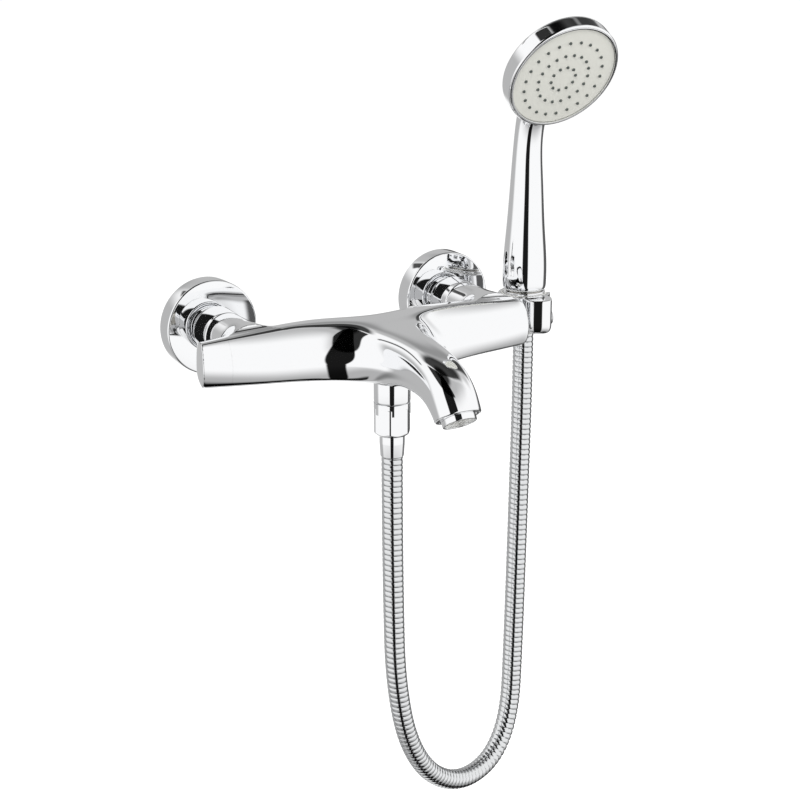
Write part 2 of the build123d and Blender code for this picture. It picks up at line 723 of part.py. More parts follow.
with BuildPart() as cradle:
    with BuildSketch(Plane.XY.offset(holder_bottom)):
        with Locations((holder_x, holder_y)):
            Circle(holder_radius)
    extrude(amount=holder_top - holder_bottom)
    fillet(cradle.edges().sort_by(Axis.Z)[0], radius=holder_edge)
    add(pillar.part)
    with BuildSketch(Plane.YZ.offset(right_face_x + end_gap)):
        with Locations((body_axis_y, body_axis_z)):
            Circle(gallery_radius - thread_gap)
    extrude(amount=pillar_x - right_face_x)
    with BuildSketch(Plane(origin=(holder_x, holder_y, 0), x_dir=(1, 0, 0), z_dir=(0, -1, 0))):
        with BuildLine():
            Polyline([
                (0, holder_bottom - cut_margin),
                (cone_radius(holder_bottom - cut_margin) + liner_outside, holder_bottom - cut_margin),
                (cone_top_radius + liner_outside, cone_shoulder),
                (cone_top_radius + liner_outside, holder_top + cut_margin),
                (0, holder_top + cut_margin),
            ], close=True)
        make_face()
    revolve(axis=Axis((holder_x, holder_y, 0), (0, 0, 1)), mode=Mode.SUBTRACT)
    with BuildSketch(Plane.XY.offset(holder_bottom - cut_margin)):
        with Locations((holder_x + holder_radius, holder_y)):
            Rectangle(2 * holder_radius, slot_width)
    extrude(amount=holder_top - holder_bottom + 2 * cut_margin, mode=Mode.SUBTRACT)
    with BuildSketch(Plane.YZ.offset(pillar_x + pillar_radius + cut_margin)):
        with Locations((pillar_y, holder_screw_z)):
            Circle(holder_screw_radius + thread_gap)
    extrude(amount=right_face_x - pillar_x - pillar_radius - 2 * cut_margin, mode=Mode.SUBTRACT)
    with BuildSketch(Plane.YZ.offset(pillar_x + pillar_radius + cut_margin)):
        with Locations((pillar_y, holder_screw_z)):
            Circle(holder_screw_head + 2 * thread_gap)
    extrude(amount=-holder_screw_seat - cut_margin, mode=Mode.SUBTRACT)
write(cradle.part, "cradle")

with BuildPart() as cradle_liner:
    with BuildSketch(Plane(origin=(holder_x, holder_y, 0), x_dir=(1, 0, 0), z_dir=(0, -1, 0))):
        with BuildLine():
            Polyline([
                (cone_radius(holder_bottom) + liner_inside, holder_bottom),
                (cone_radius(holder_bottom) + liner_outside, holder_bottom),
                (cone_top_radius + liner_outside, cone_shoulder),
                (cone_top_radius + liner_outside, holder_top),
                (cone_top_radius + liner_inside, holder_top),
                (cone_top_radius + liner_inside, cone_shoulder),
            ], close=True)
        make_face()
    revolve(axis=Axis((holder_x, holder_y, 0), (0, 0, 1)))
    with BuildSketch(Plane.XY.offset(holder_bottom - cut_margin)):
        with Locations((holder_x + holder_radius, holder_y)):
            Rectangle(2 * holder_radius, slot_width)
    extrude(amount=holder_top - holder_bottom + 2 * cut_margin, mode=Mode.SUBTRACT)
write(cradle_liner.part, "cradle_liner")

screw_seat_x = pillar_x + pillar_radius - holder_screw_seat
with BuildPart() as cradle_screw:
    with BuildSketch(Plane.YZ.offset(screw_seat_x)):
        with Locations((pillar_y, holder_screw_z)):
            Circle(holder_screw_head)
    extrude(amount=holder_screw_head_height)
    with BuildSketch(Plane.YZ.offset(screw_seat_x)):
        with Locations((pillar_y, holder_screw_z)):
            Circle(holder_screw_radius)
    extrude(amount=-(screw_seat_x - plug_end + plug_length - plug_blind_end - holder_screw_tip_gap))
    with BuildSketch(Plane.YZ.offset(screw_seat_x + holder_screw_head_height)):
        with Locations((pillar_y, holder_screw_z)):
            RegularPolygon(radius=holder_screw_key, side_count=6, major_radius=False)
    extrude(amount=-holder_screw_key_depth, mode=Mode.SUBTRACT)
write(cradle_screw.part, "cradle_screw")

# Hand shower
tilt = math.radians(head_tilt)
face_out = Vector(0, -math.cos(tilt), -math.sin(tilt))
head_origin = Vector(holder_x, head_y, head_z)
face_plane = Plane(origin=head_origin, x_dir=(1, 0, 0), z_dir=face_out)
head_section_plane = Plane(origin=head_origin, x_dir=(1, 0, 0), z_dir=Vector(1, 0, 0).cross(face_out))
head_axis = Axis(head_origin, face_out)


def round_head(profile):
    """A ring or disc about the head's axis. The profile is a list of corners, each a radius and a
    distance out of the face."""
    with BuildPart() as piece:
        with BuildSketch(head_section_plane):
            with BuildLine():
                Polyline(profile, close=True)
            make_face()
        revolve(axis=head_axis)
    return piece


plate_radius = head_radius - head_rim_width
jet_disc_radius = plate_radius - jet_disc_inset
face_step = plate_recess + plate_thickness


def handle_plane(station):
    """Plane square to the handle's centre line, with its normal towards the head."""
    lean = math.radians(station["lean"])
    return Plane(origin=(holder_x, station["y"], station["z"]), x_dir=(1, 0, 0),
                 z_dir=(0, -math.sin(lean), math.cos(lean)))


with BuildPart() as handle_way:
    for station in handle_stations[3:]:
        with BuildSketch(handle_plane(station)):
            Circle(neck_way_radius)
    loft()

dome_radius = (head_radius ** 2 + head_dome_depth ** 2) / (2 * head_dome_depth)
dome_angle = math.degrees(math.asin(head_radius / dome_radius))
face_screw_circle = jet_disc_radius - face_screw_inset
cavity_floor = face_step + jet_chamber + jet_disc_thickness + jet_back_gap
with BuildPart() as handset_shell:
    for station in handle_stations:
        with BuildSketch(handle_plane(station)):
            Circle(station["r"])
    loft()
    fillet(handset_shell.edges().sort_by(Axis.Z)[0], radius=handle_foot_round)
    with BuildSketch(head_section_plane):
        with BuildLine():
            Line((0, 0), (head_radius - head_edge, 0))
            CenterArc((head_radius - head_edge, -head_edge), head_edge, 0, 90)
            Line((head_radius, -head_edge), (head_radius, -head_rim_depth))
            CenterArc((0, dome_radius - head_rim_depth - head_dome_depth), dome_radius, 270, dome_angle)
            Line((0, -head_rim_depth - head_dome_depth), (0, 0))
        make_face()
    revolve(axis=head_axis)
    with BuildSketch(face_plane.offset(cut_margin)):
        Circle(plate_radius + 3 * ring_gap + ring_width)
    extrude(amount=-cut_margin - face_step, mode=Mode.SUBTRACT)
    with BuildSketch(face_plane.offset(-face_step)):
        Circle(jet_disc_radius + ring_gap)
    extrude(amount=face_step - cavity_floor, mode=Mode.SUBTRACT)
    with BuildSketch(face_plane.offset(-cavity_floor)):
        with PolarLocations(face_screw_circle, face_screw_count, start_angle=90):
            Circle(face_screw_radius + press_gap)
    extrude(amount=-face_screw_hold - press_gap, mode=Mode.SUBTRACT)
    with BuildSketch(Plane(origin=(holder_x, holder_y - bore_shift, handle_foot), x_dir=(1, 0, 0), z_dir=(0, 0, 1))):
        Circle(handle_bore)
    extrude(amount=handle_bore_top - handle_foot, mode=Mode.SUBTRACT)
    with BuildSketch(Plane(origin=(holder_x, holder_y, handle_foot), x_dir=(1, 0, 0), z_dir=(0, 0, 1))):
        Circle(bush_radius + thread_gap)
    extrude(amount=bush_length, mode=Mode.SUBTRACT)
    add(handle_way.part, mode=Mode.SUBTRACT)
    with BuildSketch(Plane(origin=(holder_x, handle_stations[-1]["y"], handle_stations[-1]["z"]),
                           x_dir=(1, 0, 0), z_dir=face_out)):
        Circle(neck_way_radius)
    extrude(amount=neck_way_end, mode=Mode.SUBTRACT)
write(handset_shell.part, "handset_shell")
print("handset shell", len(handset_shell.part.solids()), "solid, volume", round(handset_shell.part.volume))

# Fittings in the handle
bush = upright(holder_x, holder_y, [
    (nipple_bore, bush_bottom),
    (thread_radius, bush_bottom),
    (thread_radius, handle_foot),
    (bush_radius, handle_foot),
    (bush_radius, handle_foot + bush_length - thread_gap),
    (tube_radius + thread_gap, handle_foot + bush_length - thread_gap),
    (tube_radius + thread_gap, handle_foot + bush_step),
    (nipple_bore, handle_foot + bush_step),
])
write(bush.part, "inlet_bush")

limiter_bottom = bush_bottom + limiter_place
limiter = upright(holder_x, holder_y, [
    (limiter_bore, limiter_bottom),
    (nipple_bore, limiter_bottom),
    (nipple_bore, limiter_bottom + limiter_thickness),
    (limiter_bore, limiter_bottom + limiter_thickness),
])
write(limiter.part, "flow_limiter")

tube_top = handle_bore_top - tube_end_gap
water_tube = upright(holder_x, holder_y, [
    (tube_radius - tube_wall, handle_foot + bush_step),
    (tube_radius, handle_foot + bush_step),
    (tube_radius, tube_top),
    (tube_radius - tube_wall, tube_top),
])
write(water_tube.part, "water_tube")

# Fittings in the head. The face is the open side of the head, and depths run back from it.
ring_outside = plate_radius + 2 * ring_gap + ring_width
face_ring = round_head([
    (plate_radius + ring_gap, -face_step),
    (ring_outside, -face_step),
    (ring_outside, 0.25),
    (plate_radius + ring_gap + 0.4, 0.35),
    (plate_radius + ring_gap, 0.0),
])
write(face_ring.part, "face_ring")

with BuildPart() as spray_plate:
    with BuildSketch(face_plane.offset(-face_step)):
        Circle(plate_radius)
    extrude(amount=plate_thickness)
    for ring in nozzle_rings:
        with BuildSketch(face_plane.offset(-face_step)):
            with Locations((0, -nozzle_drop)):
                with PolarLocations(ring["radius"], ring["count"], start_angle=ring["turn"]):
                    Circle(nozzle_radius + press_gap)
        extrude(amount=plate_thickness, mode=Mode.SUBTRACT)
write(spray_plate.part, "spray_plate")

# The nozzles are one soft sheet behind the plate, with a small tube through each of its holes
with BuildPart() as spray_nozzles:
    with BuildSketch(face_plane.offset(-face_step - sheet_thickness - press_gap)):
        Circle(jet_disc_radius - jet_wall - seal_inset)
    extrude(amount=sheet_thickness)
    for ring in nozzle_rings:
        with BuildSketch(face_plane.offset(-face_step - press_gap)):
            with Locations((0, -nozzle_drop)):
                with PolarLocations(ring["radius"], ring["count"], start_angle=ring["turn"]):
                    Circle(nozzle_radius)
        extrude(amount=plate_thickness + nozzle_stand_out + press_gap)
        with BuildSketch(face_plane.offset(-face_step - sheet_thickness - cut_margin)):
            with Locations((0, -nozzle_drop)):
                with PolarLocations(ring["radius"], ring["count"], start_angle=ring["turn"]):
                    Circle(nozzle_radius * nozzle_bore_share)
        extrude(amount=plate_thickness + nozzle_stand_out + sheet_thickness + 2 * cut_margin, mode=Mode.SUBTRACT)
write(spray_nozzles.part, "spray_nozzles")

disc_front = face_step + sheet_thickness + jet_disc_gap
with BuildPart() as jet_disc:
    with BuildSketch(face_plane.offset(-disc_front - jet_disc_thickness)):
        Circle(jet_disc_radius)
    extrude(amount=jet_disc_thickness)
    with BuildSketch(face_plane.offset(-disc_front - jet_disc_thickness)):
        with PolarLocations(jet_hole_circle, jet_holes):
            Circle(jet_hole_radius)
        with PolarLocations(face_screw_circle, face_screw_count, start_angle=90):
            Circle(face_screw_radius + press_gap)
    extrude(amount=jet_disc_thickness, mode=Mode.SUBTRACT)
    with BuildSketch(face_plane.offset(-disc_front)):
        Circle(jet_disc_radius)
        Circle(jet_disc_radius - jet_wall, mode=Mode.SUBTRACT)
    extrude(amount=disc_front - face_step - press_gap)
write(jet_disc.part, "jet_disc")

face_seal_outside = jet_disc_radius - jet_wall - press_gap
face_seal = round_head([
    (face_seal_outside - face_seal_section, -disc_front),
    (face_seal_outside, -disc_front),
    (face_seal_outside, -disc_front + face_seal_section),
    (face_seal_outside - face_seal_section, -disc_front + face_seal_section),
])
write(face_seal.part, "face_seal")

with BuildPart() as face_screws:
    with BuildSketch(face_plane.offset(-cavity_floor - face_screw_hold)):
        with PolarLocations(face_screw_circle, face_screw_count, start_angle=90):
            Circle(face_screw_radius)
    extrude(amount=cavity_floor + face_screw_hold - disc_front)
write(face_screws.part, "face_screws")

# Aerator at the spout's mouth
with BuildPart() as aerator_shell:
    with BuildSketch(tip_plane.offset(-aerator_depth + aerator_seal_height)):
        Circle(aerator_radius)
        Circle(aerator_radius - aerator_wall, mode=Mode.SUBTRACT)
    extrude(amount=aerator_depth - aerator_seal_height + aerator_stand_out)
    chamfer(aerator_shell.edges().sort_by(Axis(tip_plane.origin, tip_plane.z_dir))[-1], length=aerator_edge)
write(aerator_shell.part, "aerator_shell")

with BuildPart() as aerator_insert:
    with BuildSketch(tip_plane.offset(-aerator_depth + aerator_seal_height)):
        Circle(aerator_radius - aerator_wall - running_gap)
    extrude(amount=aerator_depth - aerator_seal_height + aerator_stand_out - aerator_face_step)
    with BuildSketch(tip_plane.offset(-aerator_depth + aerator_seal_height)):
        with GridLocations(mesh_pitch, mesh_pitch, mesh_count, mesh_count):
            Rectangle(mesh_hole, mesh_hole)
    extrude(amount=aerator_depth + aerator_stand_out, mode=Mode.SUBTRACT)
write(aerator_insert.part, "aerator_insert")

with BuildPart() as aerator_seal:
    with BuildSketch(tip_plane.offset(-aerator_depth)):
        Circle(aerator_radius)
        Circle(aerator_radius - aerator_seal_width, mode=Mode.SUBTRACT)
    extrude(amount=aerator_seal_height)
write(aerator_seal.part, "aerator_seal")
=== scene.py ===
import json
import math
import bpy
import bmesh
import numpy as np
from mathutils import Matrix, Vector


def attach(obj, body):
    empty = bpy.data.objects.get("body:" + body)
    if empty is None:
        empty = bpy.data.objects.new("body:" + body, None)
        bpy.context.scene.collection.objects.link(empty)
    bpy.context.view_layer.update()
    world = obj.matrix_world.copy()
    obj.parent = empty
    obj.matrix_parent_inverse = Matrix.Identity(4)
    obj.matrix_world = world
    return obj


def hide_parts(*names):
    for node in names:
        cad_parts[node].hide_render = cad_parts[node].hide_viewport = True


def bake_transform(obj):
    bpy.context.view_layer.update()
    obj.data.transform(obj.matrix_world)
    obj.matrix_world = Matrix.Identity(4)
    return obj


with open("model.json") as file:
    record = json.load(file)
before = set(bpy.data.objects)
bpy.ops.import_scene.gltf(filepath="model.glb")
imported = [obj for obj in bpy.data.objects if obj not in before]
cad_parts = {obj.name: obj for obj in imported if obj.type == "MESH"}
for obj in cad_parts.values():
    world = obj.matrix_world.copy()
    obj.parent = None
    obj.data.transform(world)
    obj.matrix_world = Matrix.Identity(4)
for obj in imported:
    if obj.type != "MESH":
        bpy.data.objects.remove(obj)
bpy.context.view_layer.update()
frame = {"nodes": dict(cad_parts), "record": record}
print("frame loaded:", len(frame["nodes"]), "nodes")

mm = 0.001   # every size below is written in millimetres, in the frame of the wall
weldGap, thinGap = 0.004, 0.002   # points closer than the first are one, and edges shorter than the second go
slopeLimit = 40.0   # degrees that a face may differ from its field's slope
flatEnough = 0.3   # a direction shorter than this share of a unit isn't used


# Small helpers for meshes. All points are arrays in millimetres until they reach Blender.

def newObject(name, data):
    piece = bpy.data.objects.new(name, data)
    bpy.context.scene.collection.objects.link(piece)
    return piece


def meshObject(name, points, faces, smooth=True):
    # One object from an array of points and a list or array of faces.
    mesh = bpy.data.meshes.new(name)
    mesh.from_pydata((np.asarray(points, float) * mm).tolist(), [], [tuple(int(i) for i in f) for f in faces])
    mesh.update()
    mesh.polygons.foreach_set("use_smooth", np.full(len(mesh.polygons), smooth))
    return newObject(name, mesh)


def gridFaces(rows, columns):
    # Squares between neighbouring rows and columns of a grid, whose columns go round.
    r, c = [a.ravel() for a in np.meshgrid(np.arange(rows - 1), np.arange(columns), indexing="ij")]
    here, beside = r * columns + c, r * columns + (c + 1) % columns
    return np.stack([here, beside, beside + columns, here + columns], 1)


def frameAbout(axis):
    # Two unit directions square to an axis, and the axis itself as a unit.
    axis = np.asarray(axis, float) / np.linalg.norm(axis)
    side = np.cross([0.0, 0.0, 1.0], axis)
    if np.linalg.norm(side) < flatEnough:
        side = np.array([1.0, 0.0, 0.0])
    side /= np.linalg.norm(side)
    return side, np.cross(axis, side), axis


def rounded(corners):
    # A profile with its corners rounded: each corner is (radius, height, rounding). The round is an arc of
    # eight steps, tangent to both sides, and a rounding of 0 keeps the corner sharp.
    out = []
    count = len(corners)
    for i, (r, h, rounding) in enumerate(corners):
        here = np.array([r, h], float)
        if rounding <= 0 or i in (0, count - 1):
            out.append(here)
            continue
        before = np.array(corners[i - 1][:2], float) - here
        after = np.array(corners[i + 1][:2], float) - here
        before /= np.linalg.norm(before)
        after /= np.linalg.norm(after)
        half = math.acos(np.clip(before @ after, -1, 1)) / 2
        reach = rounding / math.tan(half)
        middle = here + (before + after) / np.linalg.norm(before + after) * rounding / math.sin(half)
        start, end = here + before * reach - middle, here + after * reach - middle
        sweep = math.acos(np.clip(start @ end / rounding ** 2, -1, 1))
        for t in np.linspace(0, 1, 9):
            spoke = math.sin((1 - t) * sweep) * start + math.sin(t * sweep) * end
            out.append(middle + spoke / math.sin(sweep))
    return np.array(out)


def lathe(name, profile, place, axis, steps=128):
    # A profile of (radius, height) turned about an axis through place: at each angle a, the point is radius
    # times (cos a, sin a) square to the axis, plus height along it.
    side, up, along = frameAbout(axis)
    turn = np.linspace(0, 2 * math.pi, steps, endpoint=False)
    ring = np.cos(turn)[:, None] * side + np.sin(turn)[:, None] * up
    points = np.asarray(place, float) + profile[:, 0, None, None] * ring + profile[:, 1, None, None] * along
    piece = meshObject(name, points.reshape(-1, 3), gridFaces(len(profile), steps))
    closeUp(piece)
    return piece


def shadeBySlope(mesh):
    # A mesh made from a field carries the field's slope at its points. Where a corner's face agrees with it,
    # the slope is the corner's normal, so that polished metal mirrors the true surface.
    if "slope" not in mesh.attributes:
        return
    slope = np.zeros(len(mesh.vertices) * 3)
    mesh.attributes["slope"].data.foreach_get("vector", slope)
    slope = slope.reshape(-1, 3)
    size = np.linalg.norm(slope, axis=1)
    known = size > flatEnough
    slope[known] /= size[known][:, None]
    corner = np.zeros(len(mesh.loops), int)
    mesh.loops.foreach_get("vertex_index", corner)
    faceNormal, plain = np.zeros(len(mesh.polygons) * 3), np.zeros(len(mesh.loops) * 3)
    mesh.polygons.foreach_get("normal", faceNormal)
    mesh.corner_normals.foreach_get("vector", plain)
    totals = np.zeros(len(mesh.polygons), int)
    mesh.polygons.foreach_get("loop_total", totals)
    owner = np.repeat(np.arange(len(mesh.polygons)), totals)
    agree = (slope[corner] * faceNormal.reshape(-1, 3)[owner]).sum(1) > math.cos(math.radians(slopeLimit))
    chosen = np.where((agree & known[corner])[:, None], slope[corner], plain.reshape(-1, 3))
    mesh.normals_split_custom_set(chosen.tolist())
    mesh.attributes.remove(mesh.attributes["slope"])


def closeUp(piece, sharpAngle=32.0):
    # Welds doubles, turns faces outwards and marks the edges that stay sharp.
    bm = bmesh.new()
    bm.from_mesh(piece.data)
    bmesh.ops.remove_doubles(bm, verts=bm.verts, dist=weldGap * mm)
    bmesh.ops.dissolve_degenerate(bm, edges=bm.edges, dist=thinGap * mm)
    holes = [e for e in bm.edges if e.is_boundary]
    if holes:
        bmesh.ops.holes_fill(bm, edges=holes, sides=0)
    bmesh.ops.recalc_face_normals(bm, faces=bm.faces)
    limit = math.radians(sharpAngle)
    for e in bm.edges:
        e.smooth = not (len(e.link_faces) == 2 and e.calc_face_angle(0.0) > limit)
    for f in bm.faces:
        f.smooth = True
    bm.to_mesh(piece.data)
    bm.free()
    shadeBySlope(piece.data)


def gridCell(cell):
    return cell


def dress(piece, body, node, slot="chrome"):
    # The piece rides on a body, stands for its CAD node and gets the finish of its slot.
    piece.data.materials.clear()
    piece.data.materials.append(slotFinish[slot])
    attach(piece, body)
    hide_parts(node)


def turnedRing(name, corners, place, axis, body, node, steps=128):
    # A turned chrome piece whose outline closes on its first corner.
    dress(lathe(name, rounded(corners + corners[:1]), place, axis, steps), body, node)


# Camera: the photograph's viewing angle, worked out from the two rosettes

view = {"azimuth": -28.45, "elevation": 16.7, "distance": 1200.0, "target": (49.4, 0.0, -62.6),
        "focal": 2009.0, "imageSide": 800.0, "sensor": 36.0}


def addCamera():
    # The focal length in pixels of the photograph becomes the lens for the sensor's width.
    az, el = math.radians(view["azimuth"]), math.radians(view["elevation"])
    back = Vector((math.sin(az) * math.cos(el), -math.cos(az) * math.cos(el), math.sin(el)))
    data = bpy.data.cameras.new("photoCamera")
    data.sensor_fit = "HORIZONTAL"
    data.sensor_width = view["sensor"]
    data.lens = view["focal"] / view["imageSide"] * view["sensor"]
    data.clip_start, data.clip_end = 0.01, 50.0
    camera = newObject("photoCamera", data)
    camera.location = (Vector(view["target"]) + back * view["distance"]) * mm
    camera.rotation_euler = back.to_track_quat("Z", "Y").to_euler()
    bpy.context.scene.camera = camera


addCamera()
print("camera placed")


# Finishes. Three node groups are shared: fine grain, dust that settles on top, and wear along edges.

def fill(tree, socket, value):
    # Links an output to a socket, or sets the socket to a value.
    if hasattr(value, "is_output"):
        tree.links.new(value, socket)
    else:
        socket.default_value = value


def addNode(tree, kind, inputs, **settings):
    # One node with its settings, its inputs filled by name.
    node = tree.nodes.new("ShaderNode" + kind)
    for key, value in settings.items():
        setattr(node, key, value)
    for label, value in inputs.items():
        fill(tree, node.inputs[label], value)
    return node


def addMath(tree, operation, *values):
    node = addNode(tree, "Math", {}, operation=operation)
    for socket, value in zip(node.inputs, values):
        fill(tree, socket, value)
    return node.outputs[0]


def addNoise(tree, scale, detail):
    # Noise on Object coordinates.
    place = addNode(tree, "TexCoord", {}).outputs["Object"]
    return addNode(tree, "TexNoise", {"Vector": place, "Scale": scale, "Detail": detail}).outputs["Fac"]


def newGroup(name, inputs, outputs):
    # A node group whose inputs and outputs are all plain numbers, with its two end nodes' sockets.
    group = bpy.data.node_groups.new(name, "ShaderNodeTree")
    for label in inputs:
        group.interface.new_socket(label, in_out="INPUT", socket_type="NodeSocketFloat")
    for label in outputs:
        group.interface.new_socket(label, in_out="OUTPUT", socket_type="NodeSocketFloat")
    return group, group.nodes.new("NodeGroupInput").outputs, group.nodes.new("NodeGroupOutput").inputs


grainSpread = (0.3, 0.7)   # the noise's usual range
wearScale, dustScale = 180.0, 60.0   # of the noises that break them up
wearStart, wearFull = 0.56, 0.75   # the pointiness at which wear begins and is full
bumpDepth = 0.02


def makeGrainGroup():
    # Fine noise: a roughness that wanders a little between two values, and a height for Bump.
    group, start, end = newGroup("fineGrain", ("Scale", "Low", "High"), ("Roughness", "Height"))
    noise = addNoise(group, start["Scale"], 3.0)
    rough = addNode(group, "MapRange", {"Value": noise, "From Min": grainSpread[0], "From Max": grainSpread[1],
                                        "To Min": start["Low"], "To Max": start["High"]})
    fill(group, end["Roughness"], rough.outputs["Result"])
    fill(group, end["Height"], noise)
    return group


def makeDustGroup():
    # Dust lies where the surface faces up, broken up by a soft noise.
    group, start, end = newGroup("topDust", ("Amount",), ("Mask",))
    normal = addNode(group, "NewGeometry", {}).outputs["Normal"]
    height = addNode(group, "SeparateXYZ", {"Vector": normal}).outputs["Z"]
    facing = addMath(group, "MAXIMUM", height, 0.0)
    cloud = addMath(group, "MULTIPLY", facing, addNoise(group, dustScale, 4.0))
    fill(group, end["Mask"], addMath(group, "MULTIPLY", cloud, start["Amount"]))
    return group


def makeWearGroup():
    # Wear where the mesh is convex, from the pointiness of the geometry, broken up by a noise.
    group, start, end = newGroup("edgeWear", ("Amount",), ("Mask",))
    pointed = addNode(group, "NewGeometry", {}).outputs["Pointiness"]
    edge = addNode(group, "MapRange", {"Value": pointed, "From Min": wearStart, "From Max": wearFull})
    worn = addMath(group, "MULTIPLY", edge.outputs["Result"], addNoise(group, wearScale, 2.0))
    fill(group, end["Mask"], addMath(group, "MULTIPLY", worn, start["Amount"]))
    return group


grainGroup, dustGroup, wearGroup = makeGrainGroup(), makeDustGroup(), makeWearGroup()


def finish(name, look):
    # One material from its dictionary: base, dusty and worn colour, roughness range, grain, dust and wear.
    material = bpy.data.materials.new(name)
    material.use_nodes = True
    tree = material.node_tree
    low, high = look["rough"]
    grain = addNode(tree, "Group", {"Scale": look["grainScale"], "Low": low, "High": high},
                    node_tree=grainGroup).outputs
    dust = addNode(tree, "Group", {"Amount": look["dust"]}, node_tree=dustGroup).outputs["Mask"]
    wear = addNode(tree, "Group", {"Amount": look["wear"]}, node_tree=wearGroup).outputs["Mask"]
    color = (*look["color"], 1)
    for mask, over in ((dust, "dustColor"), (wear, "wearColor")):
        mix = addNode(tree, "Mix", {"Factor": mask, "A": color, "B": (*look[over], 1)}, data_type="RGBA")
        color = mix.outputs["Result"]
    shader = tree.nodes["Principled BSDF"].inputs
    fill(tree, shader["Metallic"], look["metallic"])
    fill(tree, shader["Base Color"], color)
    fill(tree, shader["Roughness"], addMath(tree, "ADD", grain["Roughness"], dust))
    if look["bump"]:
        depth = bumpDepth * mm
        bump = addNode(tree, "Bump", {"Strength": look["bump"], "Distance": depth, "Height": grain["Height"]})
        fill(tree, shader["Normal"], bump.outputs["Normal"])
    return material


chromeLook = {"color": (0.95, 0.955, 0.965), "dustColor": (0.7, 0.7, 0.7), "wearColor": (0.95, 0.95, 0.96),
              "metallic": 1.0, "rough": (0.02, 0.05), "grainScale": 90.0, "dust": 0.03, "wear": 0.4,
              "bump": 0.0}
hoseLook = dict(chromeLook, color=(0.78, 0.79, 0.8), rough=(0.08, 0.16), grainScale=600.0)
brassLook = dict(chromeLook, color=(0.6, 0.58, 0.53), wearColor=(0.72, 0.68, 0.6), rough=(0.18, 0.3), bump=0.2,
                 grainScale=500.0)
steelLook = dict(chromeLook, color=(0.55, 0.55, 0.56), rough=(0.22, 0.34), grainScale=700.0, bump=0.15)
plateLook = {"color": (0.77, 0.77, 0.71), "dustColor": (0.8, 0.8, 0.76), "wearColor": (0.82, 0.82, 0.78),
             "metallic": 0.0, "rough": (0.32, 0.42), "grainScale": 900.0, "dust": 0.05, "wear": 0.2,
             "bump": 0.15}
nozzleLook = {"color": (0.1, 0.115, 0.105), "dustColor": (0.3, 0.3, 0.3), "wearColor": (0.25, 0.26, 0.25),
              "metallic": 0.0, "rough": (0.5, 0.65), "grainScale": 800.0, "dust": 0.08, "wear": 0.3,
              "bump": 0.2}
rubberLook = dict(nozzleLook, color=(0.03, 0.03, 0.032))
whiteLook = dict(plateLook, color=(0.78, 0.78, 0.75), rough=(0.3, 0.4))

# Each slot of the CAD part, its material's name and its look
finishes = [("chrome", "polishedChrome", chromeLook), ("hose_metal", "hoseMetal", hoseLook),
            ("brass", "nickelledBrass", brassLook), ("steel", "plainSteel", steelLook),
            ("spray_grey", "sprayPlateGrey", plateLook), ("nozzle_rubber", "nozzleRubber", nozzleLook),
            ("black_rubber", "blackRubber", rubberLook), ("white_plastic", "whitePlastic", whiteLook)]
slotFinish = {slot: finish(name, look) for slot, name, look in finishes}
for entry in frame["record"]["subparts"]:
    mesh = frame["nodes"][entry["node"]].data
    mesh.materials.clear()
    mesh.materials.append(slotFinish[entry["material_slot"]])
print("finishes made")


# Light: a white studio whose flags only mirrors see, two soft lamps and a pale floor

studio = {"ambient": 0.44, "floorHeight": -330.0, "floorSide": 30000.0, "floorColor": (0.82, 0.82, 0.82),
          "floorGlow": 0.66, "aim": (0, -60, -40)}
lamps = [("keyLamp", (-900, -1300, 1400), 900, 26.0), ("fillLamp", (1300, -900, 500), 1100, 9.0)]
# Each flag is a dark field of the studio: its azimuth seen from above (0 is +X, 90 is +Y, the camera stands
# at -118), half width, how much it widens and leans aside with each degree up, lowest and highest elevation
# and soft edge, all in degrees but the two shares, and how dark it is.
flagLabels = ("Azimuth", "Half", "Grow", "Lean", "Low", "High", "Soft", "Dark")
flags = [
    (-118.5, 14.5, 0.33, 0.15, -100.0, 120.0, 2.0, 0.99),   # stripe down upright tubes, patch on the left arm
    (-155.0, 74.0, 0.0, 0.0, 55.0, 120.0, 1.5, 0.97),       # black of the head's rim
    (-60.0, 50.0, 0.0, 0.0, 51.0, 120.0, 12.0, 0.5),
    (58.0, 66.0, 0.0, 0.0, 53.0, 120.0, 6.0, 0.95),
    (38.0, 38.0, 0.0, 0.0, 30.0, 62.0, 8.0, 0.41),
    (0.0, 200.0, 0.0, 0.0, 73.0, 120.0, 5.0, 0.93),         # straight up, all round
    (29.0, 10.0, 0.0, 0.0, 17.0, 52.0, 4.0, 0.92),          # thin stripe on the head's rim
    (-30.0, 60.0, 0.0, 0.0, -120.0, -53.0, 8.0, 0.98),      # black line under the arms
    (-110.0, 75.0, 0.0, 0.0, -120.0, -57.0, 4.0, 0.97),
    (-115.0, 125.0, 0.0, 0.0, -120.0, -29.0, 14.0, 0.55),
    (31.0, 31.0, 0.0, 0.0, -60.0, 4.0, 4.0, 0.9),           # right edge of upright tubes
    (66.0, 30.0, 0.0, 0.0, -4.0, 50.0, 7.0, 0.5),           # grey of level tops
    (113.0, 33.0, 0.0, 0.0, -66.0, 20.0, 9.0, 0.52),        # left edge of upright tubes
    (102.0, 5.0, 0.0, 0.0, 26.5, 36.0, 1.5, 0.92),          # the two slits on the spout's side
    (120.0, 16.0, 0.0, 0.0, 32.5, 37.0, 1.2, 0.9),
]


